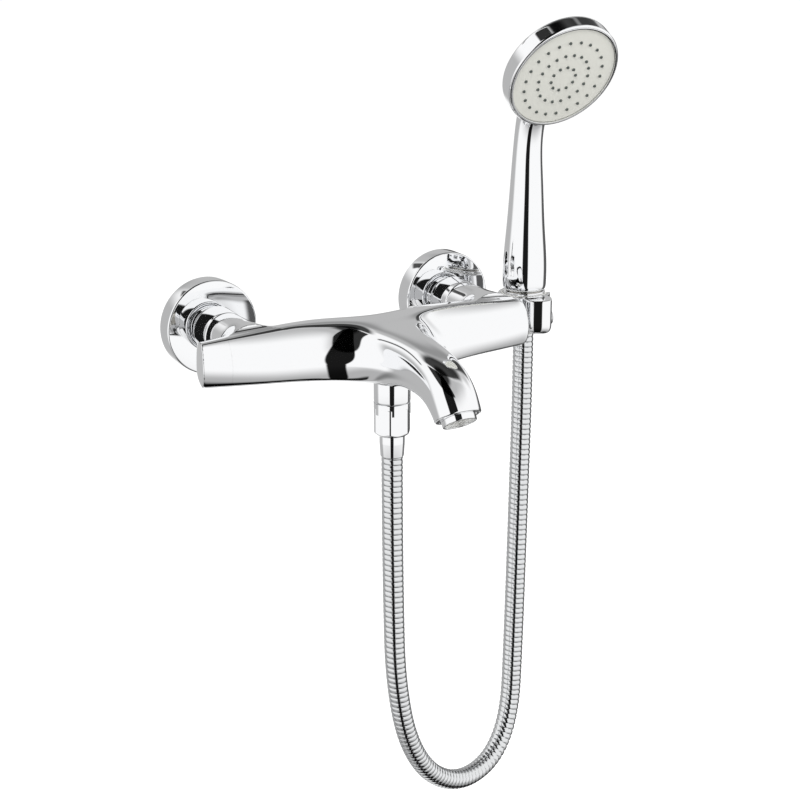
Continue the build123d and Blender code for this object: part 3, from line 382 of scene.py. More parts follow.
def makeFlagGroup():
    # A flag covers directions within a half width of its azimuth and between two elevations. The mask is the
    # darkness times three soft steps.
    group, start, end = newGroup("studioFlag", flagLabels, ("Mask",))
    place = addNode(group, "TexCoord", {}).outputs["Generated"]
    split = addNode(group, "SeparateXYZ", {"Vector": place}).outputs
    turn = addMath(group, "ARCTAN2", split["Y"], split["X"])
    rise = addMath(group, "ARCSINE", split["Z"])
    above = addMath(group, "MAXIMUM", rise, 0.0)
    middle = addMath(group, "SUBTRACT", start["Azimuth"], addMath(group, "MULTIPLY", above, start["Lean"]))
    wrapped = addMath(group, "WRAP", addMath(group, "SUBTRACT", turn, middle), math.pi, -math.pi)
    aside = addMath(group, "ABSOLUTE", wrapped)
    reach = addMath(group, "ADD", start["Half"], addMath(group, "MULTIPLY", above, start["Grow"]))
    softBelow = addMath(group, "MULTIPLY", start["Soft"], -1.0)
    mask = start["Dark"]
    for more, less in ((reach, aside), (rise, start["Low"]), (start["High"], rise)):
        inside = addMath(group, "SUBTRACT", more, less)
        step = addNode(group, "MapRange", {"Value": inside, "From Min": softBelow, "From Max": start["Soft"]},
                       interpolation_type="SMOOTHSTEP")
        mask = addMath(group, "MULTIPLY", mask, step.outputs["Result"])
    fill(group, end["Mask"], mask)
    return group


def addStudio():
    # Mirrors see white less every flag, other rays a plain level, and the camera white.
    flagGroup = makeFlagGroup()
    world = bpy.data.worlds.new("studio")
    bpy.context.scene.world = world
    world.use_nodes = True
    tree = world.node_tree
    tree.nodes.clear()
    light = 1.0
    for row in flags:
        flag = dict(zip(flagLabels, row))
        for label in ("Azimuth", "Half", "Low", "High", "Soft"):
            flag[label] = math.radians(flag[label])
        mask = addNode(tree, "Group", flag, node_tree=flagGroup).outputs["Mask"]
        light = addMath(tree, "MULTIPLY", light, addMath(tree, "SUBTRACT", 1.0, mask))
    rays = addNode(tree, "LightPath", {}).outputs
    mirror = addNode(tree, "Mix", {"Factor": rays["Is Glossy Ray"], "A": studio["ambient"], "B": light})
    seen = addMath(tree, "MAXIMUM", rays["Is Camera Ray"], rays["Is Transmission Ray"])
    direct = addNode(tree, "Mix", {"Factor": seen, "A": mirror.outputs["Result"], "B": 1.0})
    glow = addNode(tree, "Background", {"Color": (1, 1, 1, 1), "Strength": direct.outputs["Result"]})
    addNode(tree, "OutputWorld", {"Surface": glow.outputs[0]})


def addLamp(name, place, side, power):
    # A round soft lamp that no mirror shows.
    data = bpy.data.lights.new(name, "AREA")
    data.shape = "DISK"
    data.size = side * mm
    data.energy = power
    lamp = newObject(name, data)
    lamp.location = Vector(place) * mm
    lamp.rotation_euler = (Vector(place) - Vector(studio["aim"])).to_track_quat("Z", "Y").to_euler()
    lamp.visible_glossy = False


def addFloor():
    # A pale floor that keeps shadows and glows a little for the camera alone.
    half = studio["floorSide"] / 2
    z = studio["floorHeight"]
    corners = [(-half, -half, z), (half, -half, z), (half, half, z), (-half, half, z)]
    floor = meshObject("paleFloor", corners, [(0, 1, 2, 3)], smooth=False)
    material = bpy.data.materials.new("paleFloor")
    material.use_nodes = True
    tree = material.node_tree
    tree.nodes.clear()
    rays = addNode(tree, "LightPath", {}).outputs
    diffuse = addNode(tree, "BsdfDiffuse", {"Color": (*studio["floorColor"], 1)})
    strength = addMath(tree, "MULTIPLY", rays["Is Camera Ray"], studio["floorGlow"])
    glow = addNode(tree, "Emission", {"Strength": strength})
    both = addNode(tree, "AddShader", {})
    for socket, shader in zip(both.inputs, (diffuse, glow)):
        fill(tree, socket, shader.outputs[0])
    addNode(tree, "OutputMaterial", {"Surface": both.outputs[0]})
    floor.data.materials.append(material)
    floor.visible_glossy = False


addStudio()
addFloor()
for lamp in lamps:
    addLamp(*lamp)
bpy.context.scene.view_settings.view_transform = "Standard"
print("studio lit")


# Shower hose: ribbed metal, photographed from end to end. The route's points are in the upright plane from
# the outlet to the holder, as the distance along it and the height.

hose = {"outlet": (0.0, -82.0), "holder": (107.0, -45.0), "radius": 6.0, "groove": 5.3, "pitch": 3.14,
        "perRib": 7, "around": 20, "start": -66.0, "end": -17.2, "ribPower": 5, "sharp": 75.0}
hoseRoute = [(0, hose["start"]), (0, -98), (1.0, -155), (2.6, -200), (12, -243), (33, -274), (62, -289),
             (91, -284), (106.5, -259), (108.6, -215), (110.4, -155), (112, -95), (113.2, -50),
             (113.2, hose["end"])]


def hoseLine():
    # The route's points become the control points of one NURBS spline, which Blender turns into points.
    reach = math.dist(hose["outlet"], hose["holder"])
    along = (np.array(hose["holder"]) - np.array(hose["outlet"])) / reach
    route = [(*(np.array(hose["outlet"]) + along * s), z) for s, z in hoseRoute]
    data = bpy.data.curves.new("hoseRoute", "CURVE")
    data.dimensions = "3D"
    data.resolution_u = 24
    spline = data.splines.new("NURBS")
    spline.points.add(len(route) - 1)
    for point, place in zip(spline.points, route):
        point.co = (*(Vector(place) * mm), 1)
    spline.order_u = 3
    spline.use_endpoint_u = True
    curve = newObject("hoseRoute", data)
    line = bpy.data.meshes.new_from_object(curve)
    points = np.zeros(len(line.vertices) * 3)
    line.vertices.foreach_get("co", points)
    bpy.data.objects.remove(curve)
    bpy.data.meshes.remove(line)
    return points.reshape(-1, 3) / mm, np.array([-along[1], along[0], 0.0])


def evenly(points, step):
    # The same line with its points a step apart.
    length = np.concatenate([[0], np.cumsum(np.linalg.norm(np.diff(points, axis=0), axis=1))])
    places = np.linspace(0, length[-1], max(2, round(length[-1] / step)) + 1)
    return np.stack([np.interp(places, length, points[:, k]) for k in range(3)], 1), places


def addHose():
    # Radius over the length s and the angle a: the groove's plus the rib's height times 1 less the 5th power
    # of the distance from the rib's middle. The phase is s over the pitch plus a over a full turn, so that
    # the rib winds round the hose as a screw does.
    line, square = hoseLine()
    points, places = evenly(line, hose["pitch"] / hose["perRib"])
    tangent = np.gradient(points, axis=0)
    tangent /= np.linalg.norm(tangent, axis=1)[:, None]
    other = np.cross(tangent, square)
    angle = np.linspace(0, 2 * math.pi, hose["around"], endpoint=False)
    phase = (places[:, None] / hose["pitch"] + angle[None] / (2 * math.pi)) % 1.0
    rib = 1 - np.abs(2 * phase - 1) ** hose["ribPower"]
    radius = hose["groove"] + (hose["radius"] - hose["groove"]) * rib
    ring = np.cos(angle)[None, :, None] * square + np.sin(angle)[None, :, None] * other[:, None]
    surface = points[:, None] + radius[..., None] * ring
    piece = meshObject("showerHose", surface.reshape(-1, 3), gridFaces(len(points), len(angle)))
    closeUp(piece, hose["sharp"])
    return piece, points


hosePiece, hosePath = addHose()
hosePiece.data.materials.append(slotFinish["hose_metal"])
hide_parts("shower_hose")
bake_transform(hosePiece)


# Smooth cast shapes are the zero surface of a field: a signed distance in millimetres, negative inside.

tiny = 1e-9
batch = 20000   # points that are looked up at once
leastSpread, leastSlope = 0.3, 0.05   # so that no distance is divided by almost nothing
slopeReach = 0.05
rimReach, rimFlat = 45.0, 0.01   # how far and how flat the rim of a cut lies about its middle

def softMin(a, b, blend):
    # The lower of two fields, with a hollow of about the blend's size where they cross (cubic, so that the
    # curvature has no step and reflections run on smoothly).
    h = np.clip(1 - np.abs(a - b) / blend, 0, 1)
    return np.minimum(a, b) - h ** 3 * blend / 6


def softMax(a, b, blend):
    # The higher of two fields, with a rounded edge where they cross.
    return -softMin(-a, -b, blend)


def smoothCurve(places, values, at):
    # Natural cubic spline through the values at the places, read at other places.
    places, values = np.asarray(places, float), np.asarray(values, float)
    step = np.diff(places)
    n = len(places)
    system = np.eye(n)
    right = np.zeros(n)
    for i in range(1, n - 1):
        system[i, i - 1:i + 2] = step[i - 1], 2 * (step[i - 1] + step[i]), step[i]
        right[i] = 6 * ((values[i + 1] - values[i]) / step[i] - (values[i] - values[i - 1]) / step[i - 1])
    bend = np.linalg.solve(system, right)
    i = np.clip(np.searchsorted(places, at) - 1, 0, n - 2)
    a, b = (places[i + 1] - at) / step[i], (at - places[i]) / step[i]
    cubic = ((a ** 3 - a) * bend[i] + (b ** 3 - b) * bend[i + 1]) * step[i] ** 2 / 6
    return a * values[i] + b * values[i + 1] + cubic


def tubeCurve(stations, samples=320):
    # A tube's centre line in an upright plane, from stations of (y, z, half width, half height, power). Given
    # at even samples: points, downstream direction, bend, both half sizes and the section's power.
    table = np.array(stations, float)
    chord = np.concatenate([[0], np.cumsum(np.hypot(*np.diff(table[:, :2], axis=0).T))])
    at = np.linspace(0, chord[-1], samples)
    y, z, wide, tall, power = (smoothCurve(chord, table[:, k], at) for k in range(5))
    dy, dz = np.gradient(y, at), np.gradient(z, at)
    size = np.hypot(dy, dz)
    ty, tz = dy / size, dz / size
    bend = (ty * np.gradient(tz, at) - tz * np.gradient(ty, at)) / size
    return {"y": y, "z": z, "wide": wide, "tall": tall, "power": power, "ty": ty, "tz": tz, "bend": bend,
            "step": at[1] * size, "samples": samples}


def tubeField(curve, across, y, z):
    # Distance to the tube. The nearest place on the centre line gives the section; off the line, a bend
    # spreads the samples by 1 - bend * offset. The section is a superellipse: u to the power p plus v to the
    # power p is 1, with u = across / wide and v = off / tall (p = 2 is an ellipse). With k the pth root of
    # that sum, the distance is k - 1 over the slope of k.
    yy, zz = [a.ravel() for a in np.broadcast_arrays(y, z)]
    nearest = np.empty(len(yy))
    for part in range(0, len(yy), batch):
        cut = slice(part, part + batch)
        i = ((yy[cut, None] - curve["y"]) ** 2 + (zz[cut, None] - curve["z"]) ** 2).argmin(1)
        dy, dz, ty, tz = yy[cut] - curve["y"][i], zz[cut] - curve["z"][i], curve["ty"][i], curve["tz"][i]
        spread = np.maximum(1 - curve["bend"][i] * (dz * ty - dy * tz), leastSpread)
        nearest[cut] = i + (dy * ty + dz * tz) / (curve["step"][i] * spread)
    index = np.arange(curve["samples"])
    at = np.clip(nearest, 0, curve["samples"] - 1)
    read = {k: np.interp(at, index, curve[k]) for k in ("y", "z", "wide", "tall", "power", "ty", "tz")}
    off = (yy - read["y"]) * -read["tz"] + (zz - read["z"]) * read["ty"]
    beyond = np.maximum(np.maximum(-nearest, nearest - curve["samples"] + 1), 0) * curve["step"][0]
    shape = np.broadcast(y, z).shape
    off, beyond = off.reshape(shape), beyond.reshape(shape)
    wide, tall, p = (read[k].reshape(shape) for k in ("wide", "tall", "power"))
    u, v = np.abs(across / wide), np.abs(off / tall)
    k = (u ** p + v ** p + tiny) ** (1 / p)
    slope = np.hypot(u ** (p - 1) / wide, v ** (p - 1) / tall) * k ** (1 - p) + tiny
    away = (k - 1) / slope
    return np.where(beyond > 0, np.hypot(np.maximum(away, 0), beyond), away)


def fieldSlope(field, p):
    # Slope of the field by central differences.
    ways = np.eye(3) * slopeReach
    return np.stack([field(*(p + way).T) - field(*(p - way).T) for way in ways], 1) / (2 * slopeReach)


def summed(index, values, count):
    # Adds up rows of values by their index.
    return np.stack([np.bincount(index, weights=column, minlength=count) for column in values.T], 1)


def fieldSurface(field, low, high, cell, rounds=4):
    # The zero surface of a field over a box, as points and squares. Each grid cell that the surface crosses
    # has one point, first at the mean of the crossings on its edges, and each crossed grid edge has the square
    # of the four cells round it. The points are then evened out among their neighbours and moved back on to
    # the surface along the field's slope, a few rounds.
    lines = [np.arange(a, b + cell, cell) for a, b in zip(low, high)]
    value = field(lines[0][:, None, None], lines[1][None, :, None], lines[2][None, None, :])
    size = np.array(value.shape) - 1
    total, count = np.zeros((size.prod(), 3)), np.zeros(size.prod())
    squares = []
    for axis in range(3):
        others = [(axis + 1) % 3, (axis + 2) % 3]
        cut = tuple(slice(1, -1) if k in others else slice(None) for k in range(3))
        at = np.argwhere(np.diff(value < 0, axis=axis)[cut]) + [int(k in others) for k in range(3)]
        ahead = at.copy()
        ahead[:, axis] += 1
        v0, v1 = value[tuple(at.T)], value[tuple(ahead.T)]
        place = np.stack([lines[k][at[:, k]] for k in range(3)], 1)
        place[:, axis] += v0 / (v0 - v1) * cell
        ring = []
        for a, b in ((-1, -1), (0, -1), (0, 0), (-1, 0)):
            near = at.copy()
            near[:, others[0]] += a
            near[:, others[1]] += b
            index = np.ravel_multi_index(tuple(near.T), tuple(size))
            ring.append(index)
            count += np.bincount(index, minlength=len(count))
            total += summed(index, place, len(count))
        ring = np.stack(ring, 1)
        squares.append(np.where((v0 < 0)[:, None], ring, ring[:, ::-1]))
    squares = np.concatenate(squares)
    used = np.unique(squares)
    p = total[used] / count[used][:, None]
    squares = np.searchsorted(used, squares)
    a, b = np.concatenate([squares[:, [k, (k + 1) % 4]] for k in range(4)]).T
    number = np.bincount(a, minlength=len(p)) + np.bincount(b, minlength=len(p))
    for turn in range(rounds):
        if turn < rounds - 1:
            mean = (summed(a, p[b], len(p)) + summed(b, p[a], len(p))) / number[:, None]
            p = p + 0.5 * (mean - p)
        for again in range(2):
            slope = fieldSlope(field, p)
            p = p - slope * (field(*p.T) / np.maximum((slope ** 2).sum(1), leastSlope))[:, None]
    return p, squares


def fieldObject(name, field, low, high, cell):
    # The zero surface of a field as an object that carries the field's slope.
    points, squares = fieldSurface(field, low, high, cell)
    piece = meshObject(name, points, squares)
    slope = piece.data.attributes.new("slope", "FLOAT_VECTOR", "POINT")
    slope.data.foreach_set("vector", fieldSlope(field, points).ravel())
    return piece


def finishMouth(bm, origin, axis, rings):
    # Carries the open edge about a point on through rings of (radius, height), which is how a cut end gets
    # its rounded lip, its rim and its recess, and closes the last ring. A radius below zero is how far the
    # ring lies inside the edge.
    side, up, along = (Vector(v) for v in frameAbout(axis))
    middle = Vector(origin) * mm
    rim = [v for v in {v for e in bm.edges if e.is_boundary for v in e.verts}
           if abs((v.co - middle).dot(along)) < rimFlat * mm and (v.co - middle).length < rimReach * mm]
    loop = sorted(rim, key=lambda v: math.atan2((v.co - middle).dot(up), (v.co - middle).dot(side)))
    rows = [loop]
    for radius, height in rings:
        row = []
        for v in loop:
            flat = v.co - middle
            flat -= along * flat.dot(along)
            reach = radius * mm if radius > 0 else flat.length + radius * mm
            row.append(bm.verts.new(middle + flat.normalized() * reach + along * height * mm))
        rows.append(row)
    for before, after in zip(rows, rows[1:]):
        for i in range(len(loop)):
            k = (i + 1) % len(loop)
            bm.faces.new((before[i], before[k], after[k], after[i]))
    bm.faces.new(rows[-1])


def sliced(bm, place, normal, near=None, fill=False):
    # Cuts away what lies beyond a plane, of the whole mesh or of what is near a point (within a radius).
    geom = list(bm.verts) + list(bm.edges) + list(bm.faces)
    if near is not None:
        point, reach = Vector(near[0]) * mm, near[1] * mm
        faces = [f for f in bm.faces if (f.calc_center_median() - point).length < reach]
        edges = {e for f in faces for e in f.edges}
        geom = faces + list(edges) + list({v for e in edges for v in e.verts})
    cut = bmesh.ops.bisect_plane(bm, geom=geom, plane_co=Vector(place) * mm, plane_no=Vector(normal),
                                 clear_outer=True, dist=1e-7)
    if fill:
        edges = [e for e in cut["geom_cut"] if isinstance(e, bmesh.types.BMEdge) and e.is_boundary]
        bmesh.ops.holes_fill(bm, edges=edges, sides=0)


print("shape tools ready")


# Mixer body: one casting of two wings and a spout, and the turning end of the left wing

casting = {"left": -108.0, "right": 92.0, "slant": 5.5, "slantDepth": 24.0, "frontY": -73.0, "endRound": 1.6,
           "endRoundRight": 7.0, "knobFace": -92.0, "seam": 0.03, "bossRadius": 12.9, "bossStart": -62.0,
           "bossEnd": -31.8, "bossAt": 75.0, "bossBlend": 9.0, "hollowFoot": 52.0, "hollowTop": 14.0,
           "hollowHigh": 8.0, "hollowLow": -10.0, "outletRadius": 10.15, "outletStart": -12.0,
           "outletEnd": -22.5, "outletAt": (0.0, -82.0), "outletNear": (0.0, -82.0, -24.0),
           "outletReach": 14.0, "outletBlend": 4.0,
           "crease": 2.5, "creaseSoft": 7.5, "softAt": -14.0, "softStart": 8.0, "softEnd": 40.0,
           "underStart": -96.0, "underFall": 0.7, "bottomCrease": 3.8, "backTop": 9.0, "backTopEnd": 22.0,
           "backStart": 45.0, "backEnd": 108.0, "backBottom": 26.0, "lowest": (-111, -168, -42),
           "highest": (94, -28, 16), "cell": 0.85, "sharp": 58.0}
# Half sections from the middle outwards: x, top edge (y, z), bottom edge (y, z), bulge of the front, back
wingStations = [(0.0, -74.3, 10.4, -84.6, -20.4, 5.0, -48.5), (35.0, -69.0, 11.5, -78.0, -19.2, 5.1, -46.5),
                (70.0, -68.5, 11.0, -75.8, -17.1, 4.8, -49.0), (108.0, -72.8, 9.3, -73.2, -15.2, 3.6, -52.0)]
# Stations down the spout: y, z, half width, half height, power of the section. The last lies past the mouth,
# which is cut later.
spoutStations = [(-62.0, -2.5, 30.0, 13.2, 2.7), (-80.0, -2.8, 20.6, 13.4, 2.7), (-97.0, -3.8, 15.9, 13.4, 2.6),
                 (-112.0, -5.1, 13.9, 13.2, 2.7), (-126.0, -6.9, 13.3, 12.8, 2.7),
                 (-138.5, -10.4, 13.1, 12.2, 2.6), (-148.2, -16.9, 12.9, 11.7, 2.4),
                 (-154.2, -24.4, 12.6, 11.3, 2.2), (-157.4, -29.6, 12.5, 11.1, 2.2)]
mouth = {"at": (0.0, -154.2, -24.4), "pitch": 57.0, "lip": 0.9, "bore": 9.45, "depth": 6.0, "edge": 0.2,
         "near": 2.0, "reach": 19.0}
spoutCurve = tubeCurve(spoutStations)
mouthAt, pitch = np.array(mouth["at"]), math.radians(mouth["pitch"])
mouthDown = np.array([0, -math.cos(pitch), -math.sin(pitch)])


def wingShape(x):
    # The wing's section at x, read from its stations, the same on both sides.
    table = np.array(wingStations)
    table = np.concatenate([table[:0:-1] * [-1, 1, 1, 1, 1, 1, 1], table])
    return (smoothCurve(table[:, 0], table[:, k], x) for k in range(1, 7))


def wingFront(topY, topZ, lowY, lowZ, bulge, y, z):
    # The front is an arc through the section's two edges and its bulge: the distance to its circle.
    midY, midZ = (topY + lowY) / 2 - bulge, (topZ + lowZ) / 2
    a1, b1, c1 = topY - lowY, topZ - lowZ, (topY ** 2 + topZ ** 2 - lowY ** 2 - lowZ ** 2) / 2
    a2, b2, c2 = midY - lowY, midZ - lowZ, (midY ** 2 + midZ ** 2 - lowY ** 2 - lowZ ** 2) / 2
    det = a1 * b2 - a2 * b1
    centreY, centreZ = (c1 * b2 - c2 * b1) / det, (a1 * c2 - a2 * c1) / det
    return np.hypot(y - centreY, z - centreZ) - np.hypot(topY - centreY, topZ - centreZ)


def smoothStep(start, end, at):
    # Rises from 0 to 1 between start and end, level at both.
    t = np.clip((at - start) / (end - start), 0, 1)
    return t * t * (3 - 2 * t)


def castingField(x, y, z):
    # The wings' front and the spout meet in a hollow that is wide at the bottom and narrow at the top. The top
    # and the bottom are cut level afterwards, the top's edge is soft only above the spout, and the bottom
    # falls away under the spout. Then come the back, the bosses and the two slanted ends.
    c = casting
    topY, topZ, lowY, lowZ, bulge, back = wingShape(x)
    sunk = smoothStep(c["hollowHigh"], c["hollowLow"], z)
    hollow = c["hollowTop"] + (c["hollowFoot"] - c["hollowTop"]) * sunk
    front = wingFront(topY, topZ, lowY, lowZ, bulge, y, z)
    body = softMin(front, tubeField(spoutCurve, x, y, z), hollow)
    soft = smoothStep(c["softEnd"], c["softStart"], np.abs(x - c["softAt"]))
    crease = c["crease"] + (c["creaseSoft"] - c["crease"]) * soft
    outwards = smoothStep(c["backStart"], c["backEnd"], np.abs(x))
    backTop = c["backTop"] + (c["backTopEnd"] - c["backTop"]) * outwards
    under = lowZ - np.maximum(c["underStart"] - y, 0) * c["underFall"]
    body = softMax(softMax(body, z - topZ, crease), y - back, backTop)
    body = softMax(softMax(body, under - z, c["bottomCrease"]), y - back, c["backBottom"])
    for side in (-1, 1):
        boss = np.maximum(np.hypot(x - side * c["bossAt"], z) - c["bossRadius"], c["bossStart"] - y)
        body = softMin(body, boss, c["bossBlend"])
    outlet = np.hypot(x - c["outletAt"][0], y - c["outletAt"][1]) - c["outletRadius"]
    body = softMin(body, np.maximum(outlet, z - c["outletStart"]), c["outletBlend"])
    lean = math.atan2(c["slant"], c["slantDepth"])
    ahead = (y - c["frontY"]) * math.sin(lean)
    leftEnd = (c["left"] - x) * math.cos(lean) + ahead
    rightEnd = (x - c["right"]) * math.cos(lean) + ahead
    return softMax(softMax(body, leftEnd, c["endRound"]), rightEnd, c["endRoundRight"])


def cutMouth(bm):
    # The spout's end: cut square to its pitch, a rounded lip of the quarter turn, a flat rim and the recess.
    m = mouth
    start = mouthAt - mouthDown * m["lip"]
    sliced(bm, start, mouthDown, near=(mouthAt + mouthDown * m["near"], m["reach"]))
    turn = np.radians(np.arange(15, 91, 15))
    rings = [(m["lip"] * (math.cos(t) - 1), m["lip"] * math.sin(t)) for t in turn]
    rings += [(m["bore"] + m["edge"], m["lip"]), (m["bore"], m["lip"] - m["edge"]), (m["bore"], -m["depth"])]
    finishMouth(bm, start, mouthDown, rings)


def addCasting():
    # One surface is made and cut in two: the knob at the left end, and the body, whose bosses, outlet and
    # mouth are then cut to length.
    c = casting
    whole = fieldObject("castingWhole", castingField, c["lowest"], c["highest"], gridCell(c["cell"]))
    pieces = {}
    for name in ("knobShell", "mixerCasting"):
        bm = bmesh.new()
        bm.from_mesh(whole.data)
        if name == "knobShell":
            sliced(bm, (c["knobFace"], 0, 0), (1, 0, 0), fill=True)
        else:
            sliced(bm, (c["knobFace"] + c["seam"], 0, 0), (-1, 0, 0), fill=True)
            sliced(bm, (0, c["bossEnd"], 0), (0, 1, 0), fill=True)
            sliced(bm, (*c["outletAt"], c["outletEnd"]), (0, 0, -1), near=(c["outletNear"], c["outletReach"]),
                   fill=True)
            cutMouth(bm)
        mesh = bpy.data.meshes.new(name)
        bm.to_mesh(mesh)
        bm.free()
        pieces[name] = newObject(name, mesh)
        closeUp(pieces[name], c["sharp"])
    bpy.data.objects.remove(whole)
    return pieces


castPieces = addCasting()
dress(castPieces["mixerCasting"], "mixer", "mixer_body")
dress(castPieces["knobShell"], "knob", "control_knob")
print("casting modelled", {n: len(p.data.polygons) for n, p in castPieces.items()})


# Rosette, union and nut of each inlet, turned about an axis out of the wall

inlets = {"left": -75.0, "right": 75.0}
rosette = {"radius": 26.8, "depth": 11.5, "wall": 1.2, "edge": 1.2, "hole": 11.65}
unionNut = {"back": 16.5, "front": 31.5, "backRadius": 13.75, "frontRadius": 12.95, "lip": 3.4, "thread": 12.3,
            "hole": 11.65, "edge": 0.9, "run": 1.0}
unionTube = {"threadRadius": 10.48, "threadLength": 16.0, "neck": 11.5, "bore": 6.5, "flange": 12.2,
             "flangeBack": 19.9, "flangeFront": 22.3}


def rosetteCorners(r):
    inner, floor = r["radius"] - r["wall"], r["depth"] - r["wall"]
    return [(r["hole"], floor, 0), (r["hole"], r["depth"], 0.25), (r["radius"], r["depth"], r["edge"]),
            (r["radius"], 0, 0.25), (inner, 0, 0.2), (inner, floor, 0.6)]


def nutCorners(n):
    lip, run = n["back"] + n["lip"], n["run"]
    return [(n["hole"], lip, 0), (n["hole"], n["back"], 0.3), (n["backRadius"], n["back"], n["edge"]),
            (n["frontRadius"], n["front"], n["edge"]), (n["thread"] - run, n["front"] - 0.2, 0),
            (n["thread"] - run, n["front"] - 1.5 * run, 0), (n["thread"], n["front"] - 2.5 * run, 0),
            (n["thread"], lip, 0)]


def tubeCorners(t):
    return [(t["bore"], -t["threadLength"], 0), (t["threadRadius"], -t["threadLength"], 0.5),
            (t["threadRadius"], 0, 0.1), (t["neck"], 0, 0.3), (t["neck"], t["flangeBack"], 0.2),
            (t["flange"], t["flangeBack"], 0.2), (t["flange"], t["flangeFront"], 0.2),
            (t["bore"], t["flangeFront"], 0.2)]


for side, x in inlets.items():
    for name, corners, node in (("rosette", rosetteCorners(rosette), "rosette_"),
                                ("unionNut", nutCorners(unionNut), "union_nut_"),
                                ("wallUnion", tubeCorners(unionTube), "wall_union_")):
        turnedRing(name + side.capitalize(), corners, (x, 0, 0), (0, -1, 0), "mixer", node + side,
                   steps=160)
print("rosettes, unions and nuts turned")


# Outlet: the turning collar, the hexagon nut and the hose's sleeve

outlet = {"at": (0.0, -82.0, 0.0), "collarTop": -22.8, "collarFoot": -35.9, "collarRadius": 10.15,
          "collarBore": 7.55, "collarEdge": 2.6, "nutTop": -37.0, "nutFoot": -53.3, "nutFlats": 18.9,
          "nutCorner": 10.35, "nutTurn": -6.5, "nutChamfer": 1.0, "nutFootChamfer": 2.1, "nutBore": 8.43,
          "nutSoft": 0.5, "nutHole": 5.1, "nutFloor": -48.9, "nutSteps": 360, "nutEdge": 0.4,
          "nutLevels": [-48, -44, -41], "nutSharp": 38.0, "sleeveTop": -53.45, "sleeveFoot": -66.05,
          "sleeveRadius": 7.0, "sleeveTaper": 0.5, "sleeveShoulder": 4.5, "sleeveBore": 3.2, "sleeveRoof": 1.6}


def hexagonNut():
    # Over the angle a and the height z the radius is the lower of two: the hexagon's, half the flats over
    # cos(a) within 30 degrees of each flat, and the turned outline's, a line with a chamfer at each end.
    o = outlet
    steps = o["nutSteps"]
    angle = np.linspace(0, 2 * math.pi, steps, endpoint=False)
    fromFlat = (angle - math.radians(o["nutTurn"])) % (math.pi / 3) - math.pi / 6
    hexagon = o["nutFlats"] / 2 / np.cos(fromFlat)
    edge = np.concatenate([np.linspace(0, 0.4, 5), np.linspace(0.5, 3.0, 26)])
    heights = np.concatenate([o["nutFoot"] + edge, o["nutLevels"], o["nutTop"] - edge[::-1]])
    below, above = heights - o["nutFoot"], o["nutTop"] - heights
    turned = o["nutCorner"] - np.maximum(o["nutFootChamfer"] - below, 0) ** 1.5 / o["nutFootChamfer"] ** 0.5
    turned = softMin(turned, o["nutCorner"] - o["nutChamfer"] + 2 * above, o["nutEdge"])
    radius = softMin(hexagon[None, :], turned[:, None], o["nutSoft"])
    bore = [(o["nutBore"], o["nutTop"]), (o["nutBore"], o["nutFloor"]), (o["nutHole"], o["nutFloor"]),
            (o["nutHole"], o["nutFoot"])]
    rings = np.concatenate([radius] + [np.full((1, steps), r) for r, level in bore] + [radius[:1]])
    levels = np.concatenate([heights, [level for r, level in bore], [o["nutFoot"]]])
    points = np.stack([rings * np.cos(angle) + o["at"][0], rings * np.sin(angle) + o["at"][1],
                       np.broadcast_to(levels[:, None], rings.shape)], 2)
    piece = meshObject("hoseNut", points.reshape(-1, 3), gridFaces(len(rings), steps))
    closeUp(piece, o["nutSharp"])
    return piece


def addOutlet():
    # Collar, nut and sleeve, one below the other.
    o = outlet
    up = (0, 0, 1)
    collar = [(o["collarBore"], o["collarTop"], 0), (o["collarBore"], o["collarFoot"], 0.15),
              (o["collarRadius"], o["collarFoot"], o["collarEdge"]), (o["collarRadius"], o["collarTop"], 0.35)]
    turnedRing("diverterCollar", collar, o["at"], up, "diverter", "diverter_ring")
    dress(hexagonNut(), "mixer", "hose_nut")
    hole, wide, top, foot = o["nutHole"], o["sleeveRadius"], o["sleeveTop"], o["sleeveFoot"]
    roof = top - o["sleeveRoof"]
    sleeve = [(hole, top, 0), (wide, top, 0.5), (wide, top - o["sleeveShoulder"], 3.0),
              (wide - o["sleeveTaper"], foot, 0.8), (o["sleeveBore"], foot, 0), (o["sleeveBore"], roof, 0),
              (hole, roof, 0)]
    turnedRing("hoseSleeve", sleeve, o["at"], up, "mixer", "hose_ferrule")


addOutlet()
print("outlet modelled")


# Holder at the right end: a cup with a slot for the hose, its liner, and the pillar that meets the body

holder = {"at": (107.0, -45.0), "radius": 15.1, "top": 6.9, "foot": -14.6, "edge": 3.0, "topEdge": 1.2,
          "pillarAt": (105.9, -62.0), "pillarRadius": 8.0, "pillarEnd": -13.4, "pillarFoot": 7.0,
          "pillarTop": 1.6, "pillarPower": 2.8, "join": 1.5, "boreTop": 13.5, "boreSlope": 0.302,
          "shoulder": -1.0, "slot": 6.7, "slotEdge": 0.5, "lip": 0.8, "lowest": (90, -71, -18.5),
          "highest": (124.5, -28, 8.5), "cell": 0.5}
cone = {"foot": -17.2, "footRadius": 7.2, "shoulder": -1.0, "radius": 12.1, "top": 8.2, "bore": 10.58,
        "tail": 5.1, "tailTop": -6.0, "flangeBore": 8.0, "bushFoot": -2.2}


